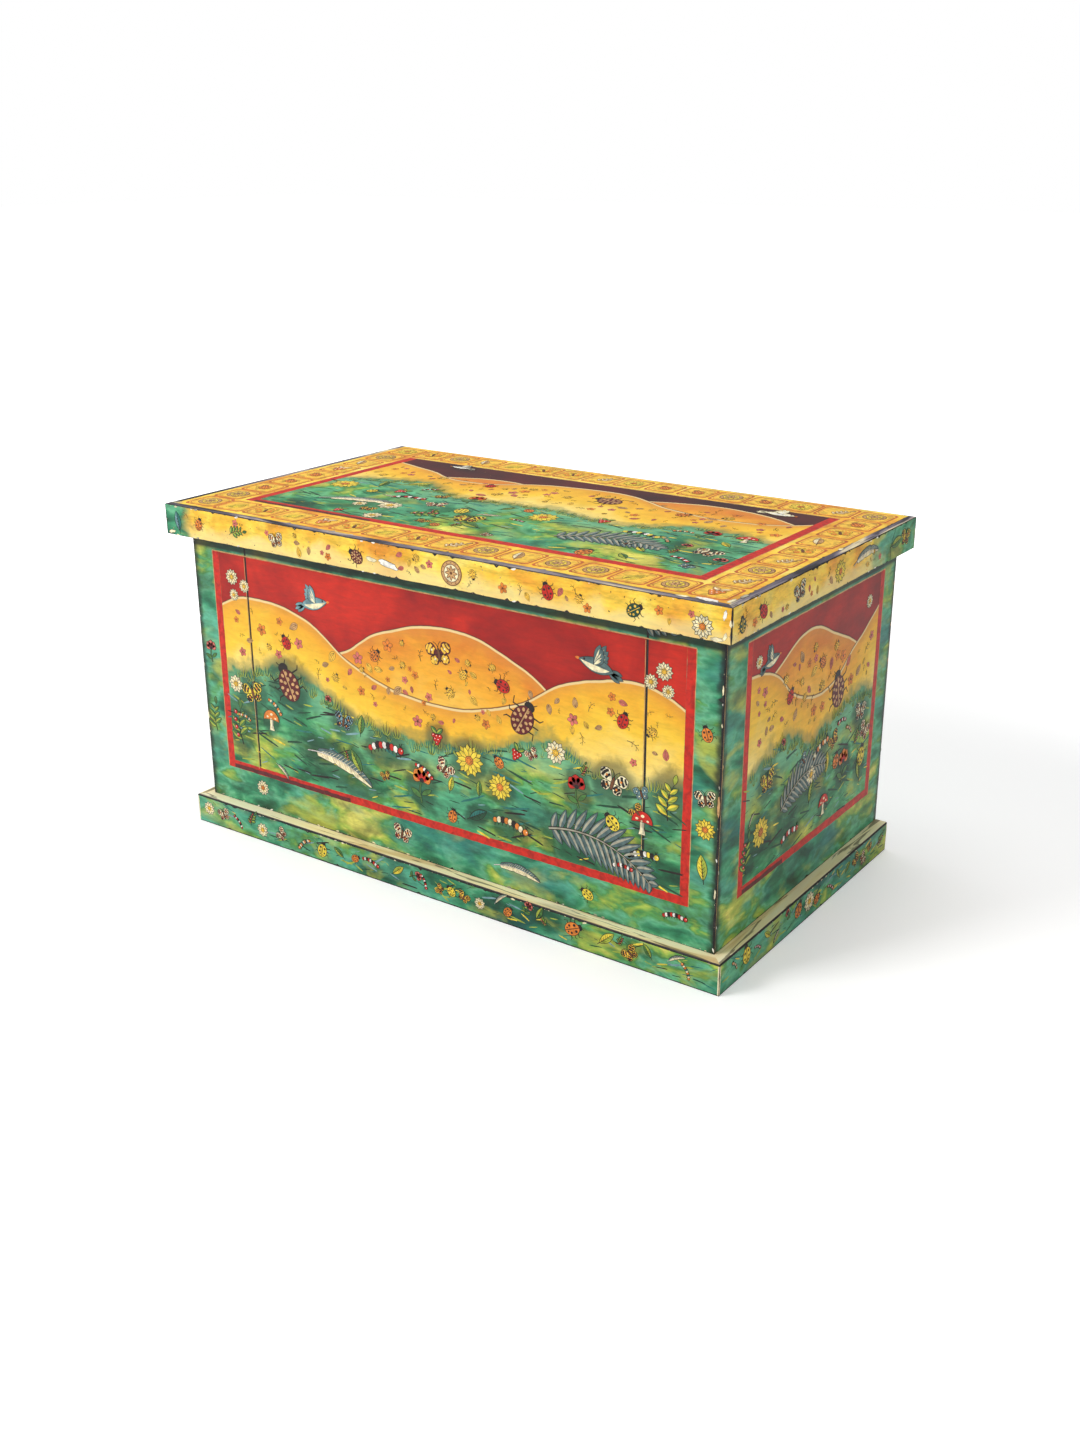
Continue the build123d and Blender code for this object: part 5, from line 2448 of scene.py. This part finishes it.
@dataclass
class Lid:
    """The lid's panel and edge boards."""

    nodes: dict[str, Thing]
    printer: Printer
    tile_band: float = 0.070
    stripe: float = 0.014
    tile_pitch: float = 0.0555
    lap: float = 0.008
    arris: float = 0.0018
    strip: tuple[float, float] = (464.0, 488.0)
    strip_end: float = 16.0
    drawing_sizes: tuple[float, float] = (7.0, 15.0)

    def build(self) -> None:
        """Make the sheets, their pictures and the boards' finishes."""
        self.face, whole = Side.TOP.of("lid_panel", "printed_lid", "lid")
        self.panel = whole.inset(-self.lap, -self.lap, -self.lap, 0.002)
        dress("lid_panel", BoardPaint("lid_panel", BACKWARD).material(), self.nodes)
        self.top()
        self.tiles()
        self.edge("front", Side.FRONT, (-0.39, -0.43), 140.0, EDGE_FRONT, 34)
        self.edge("right", Side.RIGHT, (0.10, 0.16), 150.0, EDGE_RIGHT, 16)
        self.edge("left", Side.LEFT, (-0.14, -0.19), 160.0, EDGE_LEFT, 16)
        self.printer.draw("lid_corner_scars", self.face, CORNER_SCARS)

    def top(self) -> None:
        """The large sheet on the panel and its picture."""
        side = self.tile_band + self.stripe
        scene = Landscape(
            "lid_print", self.face, self.panel.inset(side, side, side, self.tile_band),
            (linear(52, 16, 20), linear(86, 22, 24)),
            ((0, 0.66), (0.14, 0.74), (0.30, 0.84), (0.46, 0.78), (0.62, 0.84), (0.80, 0.92), (1, 0.78)),
            ((0, 0.90), (0.10, 0.84), (0.24, 0.74), (0.42, 0.88), (0.58, 0.90), (0.72, 0.78), (0.88, 0.74), (1, 0.86)),
            ((0, 0.52), (0.16, 0.62), (0.34, 0.48), (0.52, 0.54), (0.70, 0.46), (0.86, 0.58), (1, 0.52)),
            120.0, True,
        )
        sheet("lid_sheet", self.face, self.panel, Wear(0.0015, 0.0015, 0.002, 0.002), scene.material(), 41)
        Picture("lid", self.face, scene, self.printer, 700, self.stripe).build(LID_TOP, 90, 34)

    def tiles(self) -> None:
        """The border of golden tiles round the picture."""
        line = self.panel.shrunk(self.tile_band / 2)
        across, deep = round(line.width / self.tile_pitch), round(line.height / self.tile_pitch)
        rows, columns = (line.bottom, line.top), (line.left, line.right)
        places = [(line.left + line.width * n / across, v) for n in range(across + 1) for v in rows]
        places += [(u, line.bottom + line.height * n / deep) for n in range(1, deep) for u in columns]
        growth = Growth(Placing.POINTS, 0.050, 0.0545, spin=0.10, seed=9)
        self.printer.grow("lid_tiles", self.face, places, self.printer.tiles, growth)
        area = self.panel.shrunk(self.lap).corners
        growth = Growth(Placing.AREA, 0.0006, 0.0022, 900.0, rarity=2.0, seed=12)
        self.printer.grow("lid_specks", self.face, area, self.printer.specks, growth)

    def edge(
        self, name: str, side: Side, green: tuple[float, float], shift: float, spots: list[Spot], count: int
    ) -> None:
        """One edge board with its strip of print.

        Args:
            name: Which edge.
            side: The way that it looks.
            green: Where the print turns green.
            shift: A move, so that the strips differ.
            spots: Its main motifs.
            count: How many small drawings it has.
        """
        node, printer = f"lid_{name}_edge", self.printer
        face, panel = side.of(node, "lid_edge_paint", "lid")
        dress(node, BoardPaint(node, face.normal, Ledge.GREY, face.right).material(), self.nodes)
        paper = GoldenPaper(f"lid_edge_{name}", face.right, *green, panel.bottom, panel.top, shift).material()
        sheet(f"lid_edge_sheet_{name}", face, panel, Wear(0.0018, 0.0018, 0.0016, 0.0016), paper, 51)
        whole, end = panel.millimetres, self.strip_end
        strip = Panel(whole.left + end, whole.right - end, *self.strip)
        small = Scatter(SEEDS, strip, count, self.drawing_sizes, 800 + count).spots(spots)
        scars = {"front": LID_SCARS, "right": EDGE_JOINT}.get(name, [])
        printer.draw(f"lid_edge_{name}_life", face, [*spots, *small, *scars])
        growth = Growth(Placing.AREA, 0.0006, 0.0024, 4200.0, rarity=2.0, seed=int(shift))
        area = panel.shrunk(self.arris)
        printer.grow(f"lid_edge_{name}_specks", face, area.corners, printer.specks, growth)
        near = area.left if side is Side.RIGHT else area.right
        for label, start, end, size in (
            ("top", (panel.left, area.top), (panel.right, area.top), 0.006),
            ("foot", (panel.left, area.bottom), (panel.right, area.bottom), 0.005),
            ("end", (near, area.bottom), (near, area.top), 0.008),
        ):
            printer.worn_edge(f"lid_{name}_{label}", face, start, end, 81, size)


def placed(*rows: tuple) -> list[Spot]:
    """Spots from rows of their values."""
    return [Spot(*row) for row in rows]


WHITE_DAISY, RED_POPPY, YELLOW_MOTH = Daisy(Ink.CREAM, Ink.GOLD), Poppy(Ink.RED, Ink.MAROON), Moth(Ink.YELLOW)
MOTTLED_BEETLE, ORANGE_BEETLE = Beetle(Ink.MAROON, Ink.TAN, True), Beetle(Ink.ORANGE)
GREEN_BEETLE, BERRY_SPRIG = Beetle(Ink.DEEP_LEAF, Ink.GOLD), Sprig(berry=Ink.RED)
LIME_LEAF, TEAL_LEAF, LIME_SPRIG = Leaf(Ink.LIME, Ink.YELLOW), Leaf(Ink.TEAL, Ink.SKY), Sprig(Ink.LIME, Ink.YELLOW)
ORANGE_CATERPILLAR = Caterpillar((Ink.ORANGE, Ink.CREAM, Ink.DARK))
YELLOW_CATERPILLAR = Caterpillar((Ink.YELLOW, Ink.DARK, Ink.WHITE))

FRONT = placed(
    (Bird(), -205, 384, 66, 8), (Bird(Ink.SLATE), 262, 384, 70, -6, True), (WHITE_DAISY, -362, 398, 24),
    (WHITE_DAISY, -338, 388, 20), (WHITE_DAISY, -360, 372, 18), (WHITE_DAISY, 356, 396, 24),
    (WHITE_DAISY, 338, 380, 20), (WHITE_DAISY, 362, 372, 18), (Beetle(), -262, 318, 24, 30),
    (ORANGE_BEETLE, -96, 330, 22, -40), (Beetle(), 118, 330, 26, 70), (Beetle(), 300, 322, 24, -20),
    (Moth(Ink.MAROON, Ink.GOLD, Ink.CREAM), 16, 352, 46, 12), (MOTTLED_BEETLE, -262, 256, 60, 24),
    (MOTTLED_BEETLE, 150, 292, 52, -30), (Fern(), 190, 150, 160, -14), (Feather(), -232, 162, 124, -14),
    (Daisy(), 62, 214, 46), (Daisy(), 112, 188, 38), (YELLOW_MOTH, -336, 226, 44, 14),
    (Moth(), 286, 236, 46, -16), (Caterpillar(), -84, 196, 60, 6), (ORANGE_CATERPILLAR, 128, 136, 54, -8),
    (YELLOW_CATERPILLAR, 332, 148, 44, 10), (Poppy(), -22, 132, 54), (RED_POPPY, 236, 190, 46, 8),
    (Mushroom(), 330, 178, 34), (Mushroom(Ink.ORANGE), -302, 176, 34), (BERRY_SPRIG, -364, 140, 66, 6),
    (LIME_SPRIG, 366, 206, 58, -4), (Berries(Ink.RED), 8, 236, 28), (Leaf(), -130, 150, 36, 30),
    (Leaf(Ink.DEEP_LEAF, Ink.TEAL), 60, 130, 34, -60), (Moth(Ink.SKY, Ink.DARK), -160, 220, 36, -10),
)
FRONT_BORDER = placed(
    (Moth(), 417, 246, 32, 10), (Daisy(), 418, 208, 28), (LIME_LEAF, 418, 140, 34, 8),
    (ORANGE_BEETLE, 416, 330, 22, 20), (Caterpillar(), 380, 78, 34, 4),
    (Moth(Ink.CREAM, Ink.MAROON), -60, 74, 36, -12), (Feather(), 100, 72, 76, -4), (Sprig(), -418, 150, 50, 4),
    (Daisy(Ink.CREAM, Ink.ORANGE), -330, 78, 24), (Feather(Ink.SLATE, Ink.STONE), -420, 452, 60, -4),
    (Sprig(Ink.SLATE, Ink.STONE), 318, 446, 50, -86), (TEAL_LEAF, -180, 448, 34, -84),
    (TEAL_LEAF, 120, 452, 30, 86), (Poppy(Ink.ROSE, Ink.MAROON), -416, 260, 34, 4),
    (Beetle(Ink.YELLOW), 250, 72, 22, 60),
)
RIGHT_SIDE = placed(
    (Bird(Ink.SLATE), -118, 392, 56, 4), (WHITE_DAISY, -150, 400, 18), (WHITE_DAISY, 168, 398, 20),
    (MOTTLED_BEETLE, 84, 296, 56, 12), (Beetle(), -60, 330, 24, -30), (ORANGE_BEETLE, 30, 350, 22, 60),
    (Fern(), -70, 176, 130, 10), (Daisy(), -124, 168, 42), (YELLOW_MOTH, -112, 232, 40, 8),
    (ORANGE_CATERPILLAR, 40, 226, 46, 20), (Poppy(), 116, 152, 50), (Moth(), 164, 240, 38, -10),
    (Leaf(), 176, 136, 36, 14), (Caterpillar(), -40, 132, 46, 4), (Mushroom(), 60, 124, 32),
    (BERRY_SPRIG, -160, 124, 54),
)
LEFT_SIDE = placed(
    (Bird(), 110, 392, 56, 6, True), (WHITE_DAISY, -166, 398, 20), (WHITE_DAISY, -146, 384, 16),
    (MOTTLED_BEETLE, -96, 290, 54, -16), (Beetle(), 48, 336, 24, 20), (Moth(), 118, 246, 42, 10),
    (Feather(), -120, 172, 120, 8), (Daisy(), 92, 176, 42), (Caterpillar(), -30, 226, 48, -8),
    (RED_POPPY, -160, 134, 48), (Fern(), -20, 138, 110, 6), (Mushroom(Ink.ORANGE), 140, 128, 34),
    (LIME_SPRIG, 156, 170, 50, -6),
)
LID_TOP = placed(
    (Feather(), -300, -110, 130, 12), (Fern(), 110, -106, 150, 8), (YELLOW_MOTH, -40, -96, 50, 16),
    (Daisy(), -330, -20, 46), (Daisy(), 40, -30, 44), (YELLOW_CATERPILLAR, 200, -36, 56, -6),
    (Caterpillar(), -190, -40, 52, 10), (Moth(), 316, -70, 46, -14), (MOTTLED_BEETLE, 60, 104, 50, 70),
    (Bird(Ink.CREAM, Ink.WHITE), 296, 168, 62, -8), (Bird(Ink.STONE, Ink.WHITE), -258, 172, 50, 6, True),
    (Poppy(), -100, -20, 46, 10), (RED_POPPY, 270, -10, 44, -8), (BERRY_SPRIG, -130, -120, 56, -60),
    (Leaf(), 0, -126, 40, 70), (LIME_LEAF, -250, 30, 38, -50), (Beetle(), -140, 90, 24, 30),
    (ORANGE_BEETLE, 190, 90, 24, -50), (Mushroom(), 330, 0, 34, 10), (Berries(Ink.RED), 120, 0, 28),
)
EDGE_FRONT = placed(
    (TEAL_LEAF, -430, 462, 28, 10), (MOTTLED_BEETLE, -96, 474, 26, 60), (Rosette(), 62, 476, 33),
    (Beetle(), 208, 476, 24, 20), (Daisy(Ink.CREAM, Ink.ORANGE), 420, 470, 28),
    (Moth(Ink.CREAM, Ink.BROWN), -240, 474, 28, 14), (GREEN_BEETLE, 330, 474, 24, -60),
    (Sprig(), -330, 470, 32, -70), (ORANGE_BEETLE, -390, 476, 20, -20),
)
EDGE_RIGHT = placed(
    (Moth(), -92, 476, 34, 16), (Beetle(), -186, 476, 24, 50), (Daisy(), 20, 476, 30),
    (Feather(), 60, 474, 76, 4), (Leaf(), 180, 474, 34, -80), (YELLOW_MOTH, 226, 476, 32, -8),
    (GREEN_BEETLE, -236, 472, 22, 10),
)
EDGE_LEFT = placed(
    (Moth(Ink.CREAM, Ink.MAROON), 60, 476, 34, 10), (Daisy(), -60, 476, 30), (Leaf(), -190, 474, 34, 80),
    (Feather(), 120, 474, 70, -4), (Beetle(), -130, 476, 24, 30),
)
LID_SCARS = placed(
    (Flake(Ink.WHITE, stretch=3.4, seed=4), -41, 471, 21, -8),
    (Flake(Ink.CREAM, Ink.BROWN, 3.0, 6), -70, 474, 12, -6),
    (Flake(Ink.CREAM, Ink.BROWN, 3.4, 7), 438, 458, 12, 4),
    (Flake(Ink.CREAM, Ink.BROWN, 2.2, 8), 449, 463, 8, 70),
    (Flake(Ink.WHITE, Ink.BROWN, 3.0, 9), 448, 488, 9, 80),
    (Flake(Ink.CREAM, Ink.BROWN, 3.6, 10), -446, 459, 9, 10),
)
CORNER_SCARS = placed(
    (Flake(Ink.WHITE, Ink.STONE, 3.2, 11), 418, -249, 20, -6),
    (Flake(Ink.CREAM, Ink.STONE, 2.6, 12), 444, -238, 13, 84),
    (Flake(Ink.CREAM, Ink.STONE, 3.4, 13), 388, -252, 12, 2),
    (Flake(Ink.STONE, Ink.DARK, 3.0, 14), 447, -214, 12, 86),
    (Flake(Ink.CREAM, Ink.STONE, 2.8, 15), -446, -247, 10, 30),
    (Flake(Ink.CREAM, Ink.STONE, 2.4, 16), 447, 40, 9, 88),
)
FRONT_SCARS = placed(
    (Flake(Ink.CREAM, Ink.DARK, 6.0, 21), 434.8, 126, 7, 88),
    (Flake(Ink.TAN, Ink.BROWN, 7.0, 23), 435, 240, 12, 90),
    (Flake(Ink.CREAM, Ink.BROWN, 6.0, 25), 434.8, 388, 6, 90),
    (Flake(Ink.CREAM, Ink.DARK, 5.0, 26), -434.8, 172, 6, 90),
)
EDGE_JOINT = [
    Band((178, 456), (177, 475), 1.0, Ink.DARK, 1.2, 0.2), Band((177, 474.6), (190, 497.5), 1.0, Ink.DARK, 1.2, 0.2),
]


@dataclass
class Fittings:
    """The hinges, stay, bumpers, back screws and inner boards."""

    nodes: dict[str, Thing]
    screw_head: float = 0.0036
    screw_dome: tuple[Point, ...] = ((1.0, 0.0), (0.94, 0.00035), (0.66, 0.0006), (0.50, 0.00065))
    recess: Point = (0.8, 0.0001)
    screw_rows: tuple[float, ...] = (0.10, 0.22, 0.34, 0.44)

    def build(self) -> None:
        """Finish the metal, felt and inner wood, and drive the back's screws."""
        brass = Metal("brass", linear(214, 176, 96), linear(140, 108, 54), 0.34).material()
        steel = Metal("steel", linear(196, 196, 194), linear(130, 130, 130), 0.36).material()
        zinc = Metal("zinc", linear(206, 206, 200), linear(150, 148, 140), 0.42).material()
        wood_x = Timber("inner_wood").material()
        wood_y = Timber("inner_wood_short", BACKWARD).material()
        for node in self.nodes:
            if "hinge" in node:
                dress(node, brass, self.nodes)
            elif node.endswith("screws"):
                dress(node, zinc, self.nodes)
            elif node.startswith("stay"):
                dress(node, steel, self.nodes)
        for node in ("floor_board", "front_cleat", "back_cleat"):
            dress(node, wood_x, self.nodes)
        for node in ("left_cleat", "right_cleat"):
            dress(node, wood_y, self.nodes)
        dress("rim_bumpers", Felt().material(), self.nodes)
        self.back_screws(zinc)
        log.info("fittings finished")

    def back_screws(self, metal: Finish) -> None:
        """Drive the screws that hold the back to the end walls.

        Args:
            metal: Their finish.
        """
        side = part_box("right_side_board")
        face = Side.BACK.of("back_board", "screw_steel")[0]
        row = (side[0].x + side[1].x) / 2
        places = [(sign * row, height) for height in self.screw_rows for sign in (-1, 1)]
        head = self.head(metal)
        growth = Growth(Placing.POINTS, 1.0, 1.0, seed=5)
        piece = growth.grow("back_corner_screws", face, places, [head], metal)
        bpy.data.objects.remove(head)
        keep(piece, face)

    def head(self, metal: Finish) -> Thing:
        """A low domed screw head with a cross recess.

        Args:
            metal: Its finish.

        Returns:
            The head, at its real size.
        """
        shape = bmesh.new()
        radius, around = self.screw_head, 24
        loops = []
        for share, height in self.screw_dome:
            corners = ellipse(radius * share, radius * share, count=around)
            loops.append([shape.verts.new((x, y, height)) for x, y in corners])
        arm, half = radius * 0.42, radius * 0.10
        cross = [
            (arm, -half), (arm, half), (half, half), (half, arm), (-half, arm), (-half, half),
            (-arm, half), (-arm, -half), (-half, -half), (-half, -arm), (half, -arm), (half, -half),
        ]
        draft, floor = self.recess
        top = [shape.verts.new((x, y, height)) for x, y in cross]
        deep = [shape.verts.new((x * draft, y * draft, floor)) for x, y in cross]
        for low, high in zip(loops, loops[1:]):
            for n in range(around):
                m = (n + 1) % around
                shape.faces.new((low[n], low[m], high[m], high[n]))
        edges = [shape.edges.new((top[n], top[(n + 1) % 12])) for n in range(12)]
        rim = [edge for edge in shape.edges if all(vert in loops[-1] for vert in edge.verts)]
        bmesh.ops.triangle_fill(shape, edges=rim + edges, use_beauty=True)
        for n in range(12):
            m = (n + 1) % 12
            shape.faces.new((top[n], top[m], deep[m], deep[n]))
        shape.faces.new(deep)
        shape.faces.new(loops[0][::-1])
        bmesh.ops.recalc_face_normals(shape, faces=shape.faces)
        mesh = bpy.data.meshes.new("screw_head")
        shape.to_mesh(mesh)
        shape.free()
        mesh.materials.append(metal)
        return stand("screw_head", mesh)


def main() -> None:
    """Build the chest's looks around the frame."""
    logging.basicConfig(level=logging.INFO, format="%(name)s: %(message)s")
    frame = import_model()
    nodes = frame["nodes"]
    Studio().build()
    printer = Printer()
    Walls(nodes, printer).build()
    Plinth(nodes, printer).build()
    Lid(nodes, printer).build()
    Fittings(nodes).build()
    printer.stock.clear()


if __name__ == "__main__":
    main()
